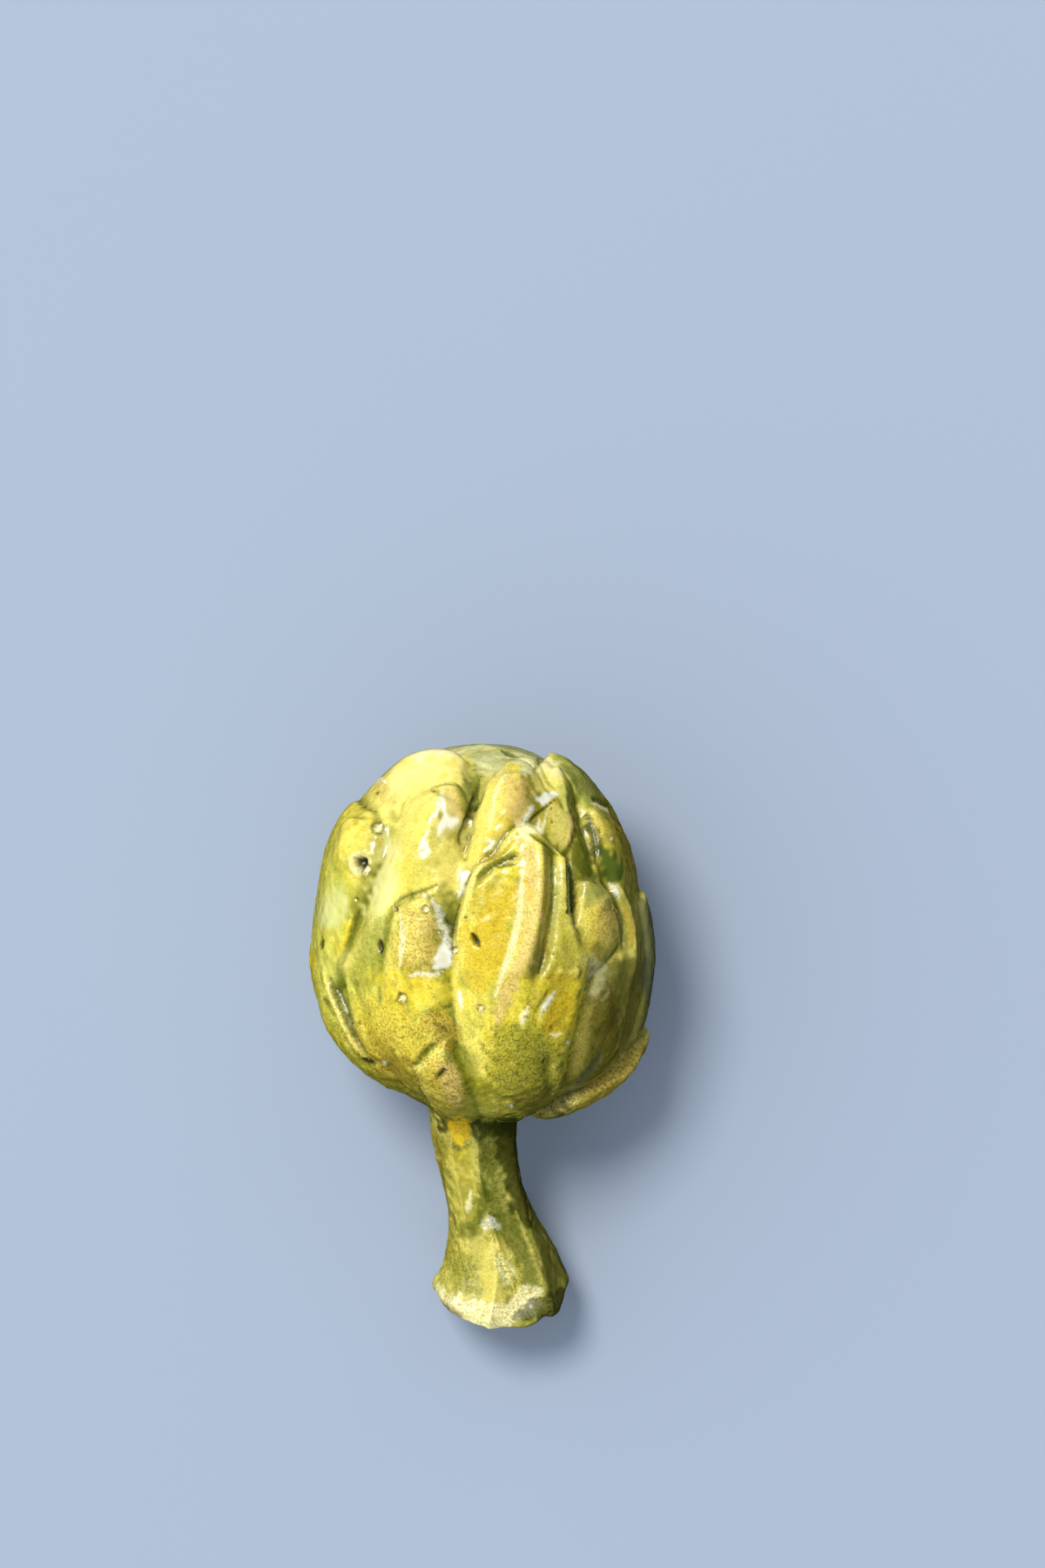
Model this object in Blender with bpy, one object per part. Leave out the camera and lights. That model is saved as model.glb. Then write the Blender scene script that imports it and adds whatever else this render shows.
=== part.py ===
"""A glazed ceramic artichoke, life size, lying on its side.

It is one fired body: a head of thick overlapping bracts, a short bent stem and a flared, broken-off stem end.
The whole body is one surface, swept from the crown to the stem end round a slightly bent spine. A place on
it is given by its azimuth (degrees round the spine, 0 at the top of the lying object, positive towards +X)
and its reach (millimetres along the profile, from the crown). The bracts are raised from that surface, from
the crown's outwards, so that each one lies over the bracts inside it.
"""

import math

import bmesh
import bpy
import numpy as np

MM = 0.001

# The object's frame: the crown end points to +Y, tilted up, and the stem end comes down to the floor.
TILT = math.radians(16.2)
HEAD_SINK = 1.1
STEM_DIP = 3.25

# Profile of the bare body, without its bracts: distance along the spine from the crown, and radius.
HEAD_PROFILE = [
    (2.6, 0.0),
    (3.0, 7.0),
    (5.0, 15.6),
    (8.6, 21.4),
    (13.6, 26.0),
    (20.4, 31.0),
    (30.0, 34.9),
    (43.7, 37.8),
    (55.0, 39.1),
    (64.0, 38.7),
    (71.0, 37.1),
    (77.0, 33.6),
    (82.4, 28.0),
    (86.6, 21.6),
    (89.8, 15.8),
]
STEM_PROFILE = [
    (94.0, 12.2),
    (102.0, 10.8),
    (110.0, 10.4),
    (120.0, 10.3),
    (127.0, 11.3),
    (133.0, 13.2),
    (139.0, 15.4),
]
END_PROFILE = [
    (142.4, 17.1),
    (144.0, 16.9),
    (144.6, 15.8),
    (143.9, 12.0),
    (143.3, 6.0),
    (143.2, 0.0),
]
HEAD_END = 93.0

# Sideways place of the spine, by distance from the crown.
SPINE_X = [
    (0.0, 0.0),
    (60.0, 0.0),
    (80.0, 0.9),
    (90.0, -1.0),
    (98.0, -2.2),
    (106.0, -1.6),
    (115.0, 0.2),
    (122.0, 2.2),
    (130.0, 4.0),
    (138.0, 5.0),
    (146.0, 4.6),
]

# How far the raised edges lean towards the crown, as a share of their height.
LEAN = 0.35
LEAN_FREE_REACH = (8.0, 26.0)

# The side that is seen from above follows the reference photograph. Its places are pixels of that photograph,
# 1200 wide and 1800 high, read by eye. PIXEL_SIZE is a pixel's size on the object in millimetres, and
# PLAN_CROWN is the crown's pixel. A place is put on the body at the height of PLAN_HEIGHT over the bare body.
PIXEL_SIZE = 0.22
PLAN_CROWN = (553.0, 859.0)
PLAN_TILT = math.radians(17.4)
PLAN_HEIGHT = 3.5

# Each bract: the seen part of its outline in pixels, the hidden part as azimuth and reach, then its height
# over the bare body at the tip and at the foot, and how much its middle bulges. The order is that of growth,
# crown first.
BRACTS = [
    (
        "crown_cap",
        [],
        [(25, 12), (70, 15), (110, 16), (150, 34), (185, 44), (220, 30), (250, 13), (300, 7), (350, 9)],
        (1.6, 1.4, 0.4),
    ),
    (
        "crown_left",
        [],
        [(-20, 9), (-62, 7), (-108, 13), (-116, 28), (-102, 52), (-62, 76), (-24, 60), (-8, 34), (-2, 18)],
        (2.7, 1.0, 2.0),
    ),
    (
        "crown_far_right",
        [],
        [(60, 20), (76, 15), (100, 17), (110, 30), (100, 54), (74, 60), (62, 38)],
        (4.2, 1.0, 1.8),
    ),
    (
        "crown_right",
        [
            (612, 878), (622, 871), (637, 872), (649, 881), (658, 897), (668, 915), (673, 940),
            (660, 975), (636, 960), (618, 915),
        ],
        [],
        (3.4, 1.0, 2.0),
    ),
    (
        "inner_left",
        [],
        [(-71, 26), (-80, 24), (-94, 27), (-102, 37), (-98, 60), (-80, 64), (-66, 50), (-65, 34)],
        (2.8, 1.0, 0.4),
    ),
    (
        "inner_right",
        [
            (659, 926), (668, 925), (677, 945), (692, 980), (697, 1010), (684, 1050), (655, 1056),
            (643, 1000), (646, 950),
        ],
        [],
        (2.2, 1.0, 0.8),
    ),
    (
        "shoulder_right",
        [(684, 1000), (683, 975), (678, 955), (672, 938), (673, 925), (681, 919), (691, 922)],
        [(92, 35), (104, 46), (104, 68), (86, 86), (62, 84)],
        (3.6, 0.8, 1.2),
    ),
    (
        "front_left",
        [
            (498, 907), (507, 902), (520, 901), (531, 905), (537, 914), (540, 925), (536, 940),
            (530, 956), (529, 970), (540, 985), (550, 1010), (530, 1050), (490, 1062), (455, 1058),
            (430, 1042), (429, 1017), (436, 995), (445, 975), (453, 955), (463, 934), (474, 920),
            (486, 911),
        ],
        [],
        (5.4, 1.2, 2.0),
    ),
    (
        "front_upper",
        [
            (571, 882), (583, 877), (598, 876), (611, 882), (619, 893), (627, 905), (640, 914),
            (652, 928), (659, 944), (659, 964), (653, 978), (650, 1000), (650, 1030), (600, 1060),
            (545, 1045), (533, 1005), (534, 975), (540, 945), (545, 925), (550, 908), (558, 893),
        ],
        [],
        (5.3, 1.4, 2.0),
    ),
    (
        "side_left",
        [
            (426, 1034), (444, 1038), (454, 1060), (456, 1100), (456, 1150), (462, 1210), (440, 1226),
            (412, 1204), (396, 1164), (388, 1122), (396, 1090), (406, 1062), (414, 1042),
        ],
        [],
        (3.0, 1.2, 1.4),
    ),
    (
        "shoulder_left",
        [
            (423, 927), (434, 934), (442, 950), (441, 970), (434, 992), (426, 1015), (415, 1042),
            (407, 1066), (400, 1088), (392, 1108), (386, 1130),
        ],
        [(-84, 102), (-104, 94), (-112, 68), (-108, 47), (-97, 37), (-83, 32)],
        (4.6, 1.2, 2.2),
    ),
    (
        "far_right",
        [],
        [(80, 60), (86, 57.5), (98, 58), (110, 64), (116, 82), (110, 106), (88, 117), (76, 106), (78, 80)],
        (4.2, 1.4, 1.4),
    ),
    (
        "side_right",
        [
            (697, 1020), (700, 1012), (708, 1008), (716, 1016), (724, 1030), (731, 1055), (735, 1090),
            (732, 1140), (722, 1190), (702, 1232), (676, 1262), (646, 1274), (636, 1240), (645, 1200),
            (655, 1150), (664, 1110), (690, 1090), (708, 1075), (711, 1058), (707, 1040),
        ],
        [],
        (2.8, 1.4, 1.4),
    ),
    (
        "low_right",
        [
            (661, 1012), (668, 1008), (680, 1012), (691, 1021), (701, 1033), (709, 1045), (712, 1062),
            (711, 1078), (704, 1092), (692, 1106), (682, 1124), (674, 1150), (666, 1185), (657, 1225),
            (642, 1270), (615, 1272), (612, 1200), (620, 1120), (640, 1080), (655, 1056), (659, 1035),
        ],
        [],
        (4.8, 1.6, 1.6),
    ),
    (
        "mid_left",
        [
            (452, 1046), (463, 1036), (478, 1030), (491, 1028), (501, 1036), (510, 1050), (519, 1065),
            (524, 1085), (527, 1110), (530, 1140), (534, 1180), (524, 1230), (492, 1264), (462, 1252),
            (445, 1217), (436, 1180), (434, 1140), (438, 1105), (444, 1080), (448, 1062),
        ],
        [],
        (4.8, 1.6, 1.8),
    ),
    (
        "front_large",
        [
            (600, 953), (612, 957), (626, 969), (639, 981), (647, 988), (650, 1005), (651, 1030),
            (655, 1055), (664, 1078), (674, 1092), (672, 1115), (667, 1142), (659, 1170), (652, 1196),
            (647, 1222), (642, 1250), (636, 1278), (600, 1288), (560, 1286), (534, 1264), (526, 1225),
            (522, 1180), (518, 1140), (516, 1100), (520, 1060), (530, 1025), (542, 998), (555, 987),
            (566, 981), (574, 973), (582, 963), (590, 956),
        ],
        [],
        (6.8, 2.2, 1.8),
    ),
    (
        "base_left",
        [
            (367, 1086), (373, 1102), (380, 1125), (389, 1150), (398, 1170), (405, 1188), (413, 1202),
            (430, 1222), (456, 1244),
        ],
        [(-72, 120), (-100, 121), (-118, 108), (-120, 90), (-108, 77), (-94, 71), (-83, 69)],
        (4.2, 0.4, 1.2),
    ),
    (
        "base_right",
        [],
        [
            (37, 114), (45, 108.5), (53, 105), (62, 102), (73, 98.5), (84, 95), (96, 92.5),
            (108, 95), (115, 103), (110, 113), (92, 120), (62, 121), (42, 119),
        ],
        (5.4, 5.4, 2.4),
    ),
    (
        "base_front",
        [
            (512, 1190), (521, 1200), (528, 1211), (536, 1226), (544, 1246), (551, 1265), (556, 1284),
            (530, 1292), (503, 1284), (489, 1268), (483, 1250), (479, 1234), (474, 1224), (482, 1216),
            (492, 1207), (502, 1198),
        ],
        [],
        (5.0, 2.4, 1.8),
    ),
]
BARE_HEIGHT = 1.2

# The side that lies down: rows of bracts by the reach of their tips, each with the azimuths of its bracts.
BACK_ROWS = [
    (33.0, (128.0, 176.0, 222.0)),
    (46.0, (150.0, 200.0, 240.0)),
    (58.0, (126.0, 178.0, 230.0)),
    (72.0, (150.0, 212.0)),
    (87.0, (128.0, 178.0, 228.0)),
]
BACK_HALF_WIDTH = 15.0
BACK_LENGTH = 46.0
BACK_LEVELS = (5.0, 1.2, 1.0)
BACK_JITTER = 2.5
BACK_SEED = 11

# A thicker bract under the head, on which it rests, so that the flat spot reaches under the centre of mass.
RESTING_BRACT = (
    "resting",
    [],
    [
        (180, 64), (168, 66), (158, 73), (154, 86), (160, 100), (180, 108), (200, 100), (206, 86), (202, 73),
        (192, 66),
    ],
    (9.4, 2.0, 0.6),
)

# Folds, valleys and swells, pressed into or drawn up from the clay: route in pixels, height and half width in
# millimetres.
FOLDS = [
    (
        "large_bract_ridge",
        [(608, 964), (612, 995), (613, 1030), (609, 1065), (601, 1100), (588, 1136)],
        2.2,
        2.2,
    ),
    (
        "large_bract_groove",
        [(628, 982), (630, 1012), (629, 1045), (625, 1080), (618, 1110), (606, 1136)],
        -2.0,
        1.15,
    ),
    ("large_bract_rim", [(641, 990), (643, 1020), (645, 1050), (651, 1075), (664, 1100)], 0.8, 1.3),
    ("large_bract_crease", [(596, 990), (580, 993), (566, 998), (555, 1006), (546, 1018)], -1.0, 0.8),
    ("side_right_rim", [(706, 1014), (716, 1034), (722, 1062), (724, 1098), (721, 1140)], 0.9, 1.5),
    ("side_left_rim", [(402, 1052), (396, 1076), (388, 1100), (384, 1124)], 0.8, 1.5),
    ("base_left_rim", [(372, 1100), (381, 1134), (391, 1164), (402, 1192), (420, 1216)], 0.8, 1.5),
    ("mid_left_rim", [(458, 1050), (460, 1080), (458, 1112)], 0.6, 1.6),
    ("ledge", [(632, 1117), (648, 1119), (664, 1115)], 1.0, 1.2),
    ("base_right_valley", [(624, 1205), (628, 1232), (628, 1262)], -0.9, 1.6),
    ("crown_left_swell", [(444, 910), (456, 890), (480, 873), (508, 868), (534, 880)], 1.3, 4.2),
    ("crown_notch", [(598, 862), (604, 874), (610, 886)], -1.6, 2.4),
    ("crown_right_swell", [(630, 884), (648, 898), (662, 918)], 1.2, 3.0),
    ("cap_valley", [(545, 872), (548, 890), (545, 908), (538, 930)], -1.8, 2.4),
    ("front_left_swell", [(516, 922), (500, 945), (480, 980), (464, 1015)], 1.7, 4.6),
    ("front_upper_swell", [(592, 892), (590, 920), (578, 950), (566, 975)], 1.5, 4.0),
    ("shoulder_left_swell", [(416, 945), (408, 972), (400, 1006)], 1.6, 4.4),
    ("shoulder_gap", [(452, 932), (445, 968), (434, 1004), (418, 1034), (405, 1066), (394, 1106)], -1.9, 2.8),
    ("left_valley", [(470, 908), (458, 926), (452, 944)], -1.2, 2.4),
    ("middle_gap", [(537, 930), (530, 965), (524, 1000), (518, 1040), (518, 1080), (526, 1130)], -1.8, 2.8),
    ("mid_left_swell", [(484, 1048), (482, 1082), (484, 1120)], 1.2, 5.0),
    ("low_middle_valley", [(500, 1150), (515, 1172), (530, 1200), (540, 1235)], -1.2, 3.2),
    ("right_valley", [(648, 896), (668, 930), (682, 962), (696, 998), (708, 1030)], -1.7, 2.4),
    ("low_right_swell", [(680, 1030), (690, 1060), (688, 1090)], 1.0, 3.6),
    ("right_edge_valley", [(684, 1098), (676, 1135), (668, 1175), (658, 1215), (648, 1250)], -1.7, 3.0),
    ("side_right_swell", [(708, 1090), (702, 1140), (690, 1190)], 0.8, 3.6),
    ("side_left_valley", [(398, 1110), (410, 1150), (424, 1186), (444, 1220)], -1.2, 2.6),
    ("base_left_valley", [(374, 1140), (386, 1172), (404, 1204)], -0.9, 2.0),
]

# Shallow hollows pressed into the faces: place in pixels, depth, half size across and along in millimetres,
# and turn in degrees.
HOLLOWS = [
    ("large_bract_face", (560, 1066), 1.7, 7.0, 19.0, 14.0),
    ("below_ledge", (640, 1150), 1.3, 4.0, 9.0, 12.0),
    ("front_upper_right", (634, 945), 0.7, 5.0, 9.0, 0.0),
    ("low_right_face", (690, 1062), 0.8, 3.5, 6.0, 20.0),
    ("side_right_face", (700, 1150), 1.0, 7.0, 16.0, 0.0),
]

EDGE_WIDTH = 1.9
EDGE_DROOP = 0.9
BULGE_WIDTH = 9.0
LEVEL_FALL = 1.6
OUTLINE_STEPS = 4

# Stem facets, and the broken rim of the stem end.
FACET_COUNT = 7
FACET_HEIGHT = 0.85
FACET_TWIST = 0.006
RIM_SLANT = 4.6
RIM_NOTCHES = [
    (-44.0, 1.0, 9.0),
    (39.0, 1.6, 9.0),
    (84.0, 1.8, 12.0),
    (150.0, 1.2, 14.0),
    (-128.0, 1.6, 12.0),
]

WAVE_COUNT = 9
WAVE_HEIGHT = 0.22
WAVE_LENGTHS = (13.0, 30.0)
WAVE_SEED = 4

COLUMNS = 320
ROWS = 340
TRIANGLES = 8600

GLAZE_COLOUR = (0.56, 0.50, 0.09, 1.0)


def smooth_line(points, steps=24):
    """Points along a smooth curve through the given ones."""
    knots = np.array(points, float)
    arc = np.concatenate([[0.0], np.cumsum(np.linalg.norm(np.diff(knots, axis=0), axis=1))])
    slopes = np.empty_like(knots)
    slopes[1:-1] = (knots[2:] - knots[:-2]) / (arc[2:] - arc[:-2])[:, None]
    slopes[0] = (knots[1] - knots[0]) / arc[1]
    slopes[-1] = (knots[-1] - knots[-2]) / (arc[-1] - arc[-2])
    u = np.linspace(0.0, 1.0, steps, endpoint=False)[:, None]
    pieces = []
    for i, gap in enumerate(np.diff(arc)):
        start = (2 * u**3 - 3 * u**2 + 1) * knots[i] + (u**3 - 2 * u**2 + u) * gap * slopes[i]
        end = (3 * u**2 - 2 * u**3) * knots[i + 1] + (u**3 - u**2) * gap * slopes[i + 1]
        pieces.append(start + end)
    return np.concatenate(pieces + [knots[-1:]])


def smooth_loop(points, steps):
    """Points along a smooth closed curve through the given ones."""
    knots = np.concatenate([points[-2:], points, points[:2]])
    return smooth_line(knots, steps)[2 * steps : -2 * steps - 1]


def smoothstep(low, high, value):
    share = np.clip((value - low) / (high - low), 0.0, 1.0)
    return share * share * (3.0 - 2.0 * share)


class Profile:
    """The bare body's outline, as functions of the reach along it."""

    def __init__(self):
        line = smooth_line(HEAD_PROFILE + STEM_PROFILE + END_PROFILE)
        self.line = line
        self.reach = np.concatenate([[0.0], np.cumsum(np.linalg.norm(np.diff(line, axis=0), axis=1))])
        self.slope = np.gradient(line, self.reach, axis=0)
        self.length = self.reach[-1]
        past_head = np.flatnonzero(line[:, 0] > HEAD_END)
        self.head_length = self.reach[past_head[0]]
        self.rim = self.reach[past_head[np.argmax(line[past_head, 1])]]

    def along(self, reach):
        return np.interp(reach, self.reach, self.line[:, 0])

    def radius(self, reach):
        return np.interp(reach, self.reach, self.line[:, 1])

    def direction(self, reach):
        """Unit steps along the spine and outwards, going along the profile."""
        along = np.interp(reach, self.reach, self.slope[:, 0])
        out = np.interp(reach, self.reach, self.slope[:, 1])
        size = np.hypot(along, out)
        return along / size, out / size


def rim_shift(azimuth):
    """How much further than the plain profile the stem end's rim goes, round the stem."""
    turn = np.radians(azimuth)
    shift = RIM_SLANT * np.maximum(np.cos(turn - math.radians(6.0)), 0.0) ** 1.3
    for middle, depth, half in RIM_NOTCHES:
        away = (azimuth - middle + 180.0) % 360.0 - 180.0
        shift = shift - depth * np.exp(-((away / half) ** 2))
    return shift


def body_points(profile, azimuth, reach, height, tilt):
    """Places in millimetres with the crown at the origin, before the body is set on the floor."""
    turn = np.radians(azimuth)
    step_along, step_out = profile.direction(reach)
    on_head = smoothstep(profile.head_length + 10.0, profile.head_length - 6.0, reach)
    lean = LEAN * smoothstep(*LEAN_FREE_REACH, reach) * on_head
    along = profile.along(reach) - (step_out + step_along * lean) * height
    radius = profile.radius(reach) + (step_along - step_out * lean) * height
    flare = smoothstep(118.0, 141.0, along) * np.where(reach > profile.rim, (radius / 16.0) ** 2, 1.0)
    along = along + rim_shift(azimuth) * flare
    side = np.interp(along, *smooth_line(SPINE_X).T)
    dip = -STEM_DIP * smoothstep(95.0, 142.0, along)
    across = side + radius * np.sin(turn)
    up = dip + radius * np.cos(turn)
    far = -along * math.cos(tilt) - up * math.sin(tilt)
    high = -along * math.sin(tilt) + up * math.cos(tilt)
    return np.stack([across, far, high], -1)


class Plan:
    """Puts places of the photograph on the body."""

    def __init__(self, profile):
        azimuth, reach = np.meshgrid(np.arange(-110.0, 110.5, 0.5), np.arange(0.0, profile.length, 0.4))
        points = body_points(profile, azimuth, reach, np.full(azimuth.shape, PLAN_HEIGHT), PLAN_TILT)
        round_step = np.gradient(points, axis=1)
        along_step = np.gradient(points, axis=0)
        seen = np.cross(along_step, round_step)[..., 2] > 0.0
        self.across = PLAN_CROWN[0] + points[seen][:, 0] / PIXEL_SIZE
        self.down = PLAN_CROWN[1] - points[seen][:, 1] / PIXEL_SIZE
        self.azimuth = azimuth[seen]
        self.reach = reach[seen]

    def place(self, across, down):
        nearest = np.argmin((self.across - across) ** 2 + (self.down - down) ** 2)
        return self.azimuth[nearest], self.reach[nearest]


def local_place(profile, azimuth, reach, meridian):
    """Millimetres to the right of a meridian and along it, for azimuths in degrees."""
    turn = np.radians(azimuth - meridian)
    near_pole = 1.0 - smoothstep(8.0, 20.0, reach)
    facing = np.where(np.cos(turn) < 0.0, -1.0, 1.0)
    facing = facing + near_pole * (np.cos(turn) - facing)
    return profile.radius(reach) * np.sin(turn), reach * facing


def edge_distance(x, y, outline):
    """How far each place is inside a closed outline, negative outside it."""
    nearest = np.full(x.shape, np.inf)
    inside = np.zeros(x.shape, bool)
    following = np.roll(outline, -1, axis=0)
    for (x0, y0), (x1, y1) in zip(outline, following):
        step_x, step_y = x1 - x0, y1 - y0
        share = np.clip(((x - x0) * step_x + (y - y0) * step_y) / (step_x**2 + step_y**2 + 1e-9), 0.0, 1.0)
        nearest = np.minimum(nearest, (x - x0 - share * step_x) ** 2 + (y - y0 - share * step_y) ** 2)
        if step_y != 0.0:
            crosses = (y0 > y) != (y1 > y)
            inside ^= crosses & (x < step_x * (y - y0) / step_y + x0)
    return np.where(inside, 1.0, -1.0) * np.sqrt(nearest)


def back_bracts():
    """The bracts of the side that lies down, placed in staggered rows with a little disorder."""
    disorder = np.random.default_rng(BACK_SEED)
    found = []
    for row, (tip_reach, azimuths) in enumerate(BACK_ROWS):
        for place, azimuth in enumerate(azimuths):
            turn, shift, wider = disorder.uniform(-1.0, 1.0, 3)
            middle = azimuth + BACK_JITTER * turn
            tip = tip_reach + BACK_JITTER * shift
            half = BACK_HALF_WIDTH + 1.5 * wider
            foot = min(tip + BACK_LENGTH, 121.0)
            places = []
            for across, along in ((0, 0), (0.36, 0.03), (0.74, 0.16), (1, 0.45), (0.8, 0.8), (0.4, 1)):
                places.append((across, along + 0.03 * turn * across))
            places += [(-across, along - 0.06 * turn * across) for across, along in places[:0:-1]]
            outline = []
            for across, along in places:
                reach = tip + along * (foot - tip)
                radius = 12.0 + 28.0 * math.sin(min(max(reach, 0.0), 118.0) / 118.0 * math.pi) ** 0.6
                outline.append((middle + math.degrees(across * half / radius), reach))
            found.append((f"back_{row}_{place}", [], outline, BACK_LEVELS))
    return found


def add_bract(profile, plan, height, azimuth, reach, bract):
    """Lays one bract over what is there already."""
    _, seen, hidden, (tip_height, foot_height, bulge) = bract
    places = np.array([plan.place(*spot) for spot in seen] + hidden, float)
    meridian = (places[:, 0].min() + places[:, 0].max()) / 2
    outline = np.stack(local_place(profile, places[:, 0], places[:, 1], meridian), 1)
    outline = smooth_loop(outline, OUTLINE_STEPS)
    x, y = local_place(profile, azimuth, reach, meridian)
    low, high = outline.min(0), outline.max(0)
    near = (x > low[0]) & (x < high[0]) & (y > low[1]) & (y < high[1])
    near &= (np.cos(np.radians(azimuth - meridian)) > 0.0) | (reach < 20.0)
    x, y = x[near], y[near]
    inside = np.maximum(edge_distance(x, y, outline), 0.0)
    down = np.clip((y - low[1]) / (high[1] - low[1]), 0.0, 1.0)
    edge = 1.0 - np.clip(inside / EDGE_WIDTH, 0.0, 1.0)
    middle = 1.0 - np.clip(inside / BULGE_WIDTH, 0.0, 1.0)
    level = foot_height + (tip_height - foot_height) * (1.0 - down) ** LEVEL_FALL
    level += bulge * (1.0 - middle**2) - EDGE_DROOP * (1.0 - down) ** 2 * edge**2
    height[near] += (1.0 - edge**3) * np.maximum(level - height[near], 0.0)


def add_fold(profile, plan, height, azimuth, reach, fold):
    """Raises or presses in one rounded line that fades at its ends."""
    _, route, lift, half_width = fold
    places = np.array([plan.place(*spot) for spot in route], float)
    meridian = (places[:, 0].min() + places[:, 0].max()) / 2
    line = smooth_line(np.stack(local_place(profile, places[:, 0], places[:, 1], meridian), 1), 6)
    x, y = local_place(profile, azimuth, reach, meridian)
    low, high = line.min(0) - 4 * half_width, line.max(0) + 4 * half_width
    near = (x > low[0]) & (x < high[0]) & (y > low[1]) & (y < high[1])
    near &= np.cos(np.radians(azimuth - meridian)) > 0.0
    x, y = x[near], y[near]
    nearest = np.full(x.shape, np.inf)
    share_of = np.zeros(x.shape)
    for i, ((x0, y0), (x1, y1)) in enumerate(zip(line, line[1:])):
        step_x, step_y = x1 - x0, y1 - y0
        share = np.clip(((x - x0) * step_x + (y - y0) * step_y) / (step_x**2 + step_y**2 + 1e-9), 0.0, 1.0)
        away = np.hypot(x - x0 - share * step_x, y - y0 - share * step_y)
        closer = away < nearest
        nearest = np.where(closer, away, nearest)
        share_of = np.where(closer, (i + share) / (len(line) - 1), share_of)
    fade = smoothstep(0.0, 0.15, share_of) * smoothstep(1.0, 0.75, share_of)
    height[near] += lift * fade * np.exp(-((nearest / half_width) ** 2))


def add_hollow(profile, plan, height, azimuth, reach, hollow):
    _, spot, depth, half_across, half_along, turn = hollow
    middle_azimuth, middle_reach = plan.place(*spot)
    x, y = local_place(profile, azimuth, reach, middle_azimuth)
    y = y - middle_reach
    turn = math.radians(turn)
    across = (x * math.cos(turn) + y * math.sin(turn)) / half_across
    along = (y * math.cos(turn) - x * math.sin(turn)) / half_along
    facing = np.cos(np.radians(azimuth - middle_azimuth)) > 0.0
    height -= np.where(facing, depth * np.exp(-((across**2 + along**2) ** 1.5)), 0.0)


def add_facets(profile, height, azimuth, reach):
    """Blunt lengthwise facets on the stem, as if whittled, stronger towards the stem end."""
    along = profile.along(reach)
    turn = np.radians(azimuth) + FACET_TWIST * (along - HEAD_END)
    uneven = turn + 0.3 * np.sin(turn + 1.0) + 0.12 * np.sin(3 * turn)
    wave = np.abs(np.cos(FACET_COUNT * uneven / 2)) - 0.64
    on_stem = smoothstep(profile.head_length, profile.head_length + 8.0, reach)
    before_end = smoothstep(profile.rim + 3.0, profile.rim, reach)
    height -= FACET_HEIGHT * wave * on_stem * before_end * (1.0 + 0.7 * smoothstep(124.0, 138.0, along))


def hand_waves(points):
    """Slow irregular waves over the whole body, as hands leave in clay, for points in millimetres."""
    disorder = np.random.default_rng(WAVE_SEED)
    height = np.zeros(points.shape[:-1])
    for _ in range(WAVE_COUNT):
        heading = disorder.normal(size=3)
        heading /= np.linalg.norm(heading)
        length = disorder.uniform(*WAVE_LENGTHS)
        height += np.sin(points @ heading * 2 * math.pi / length + disorder.uniform(0.0, 2 * math.pi))
    return height * WAVE_HEIGHT / math.sqrt(WAVE_COUNT / 2)


def relief(profile, azimuth, reach):
    """Height over the bare body, in millimetres, at each place."""
    plan = Plan(profile)
    height = BARE_HEIGHT * smoothstep(profile.head_length, profile.head_length - 4.0, reach)
    for bract in back_bracts() + [RESTING_BRACT] + BRACTS:
        add_bract(profile, plan, height, azimuth, reach, bract)
    for fold in FOLDS:
        add_fold(profile, plan, height, azimuth, reach, fold)
    for hollow in HOLLOWS:
        add_hollow(profile, plan, height, azimuth, reach, hollow)
    add_facets(profile, height, azimuth, reach)
    return height


def body_grid(columns, rows):
    """The whole surface as a grid of places whose first and last rows are single points."""
    profile = Profile()
    reach = np.linspace(0.0, profile.length, rows + 2)
    azimuth = np.arange(columns) * 360.0 / columns - 180.0
    azimuth, reach = np.meshgrid(azimuth, reach)
    height = relief(profile, azimuth, reach)
    height[0] = height[0].mean()
    height[-1] = 0.0
    plain = body_points(profile, azimuth, reach, height, TILT)
    fade = smoothstep(0.0, 6.0, reach) * smoothstep(profile.length, profile.rim, reach)
    return profile, reach, body_points(profile, azimuth, reach, height + fade * hand_waves(plain), TILT)


def settled(profile, reach, points):
    """Moves the body onto the floor at height 0, with its footprint centred."""
    on_head = reach < profile.head_length
    head_low = points[..., 2][on_head].min()
    stem_low = points[..., 2][~on_head].min()
    print("stem end over the head's lowest point:", round(stem_low - head_low, 2), "mm")
    low, high = points.reshape(-1, 3).min(0), points.reshape(-1, 3).max(0)
    return points - np.array([(low[0] + high[0]) / 2, (low[1] + high[1]) / 2, head_low + HEAD_SINK])


def grid_mesh(name, points):
    """A closed mesh from a grid of places."""
    rows, columns = points.shape[:2]
    inner = points[1:-1].reshape(-1, 3)
    vertices = np.concatenate([points[0, :1], inner, points[-1, :1]])
    ring = np.arange(columns)
    next_ring = (ring + 1) % columns
    first = 1 + np.arange(rows - 3)[:, None] * columns + ring
    beside = 1 + np.arange(rows - 3)[:, None] * columns + next_ring
    quads = np.stack([first, first + columns, beside + columns, beside], -1).reshape(-1, 4)
    last = len(vertices) - 1
    start = 1 + (rows - 3) * columns
    crown = [(0, 1 + int(a), 1 + int(b)) for a, b in zip(ring, next_ring)]
    end = [(last, start + int(b), start + int(a)) for a, b in zip(ring, next_ring)]
    mesh = bpy.data.meshes.new(name)
    mesh.from_pydata(vertices * MM, [], quads.tolist() + crown + end)
    return mesh


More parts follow.
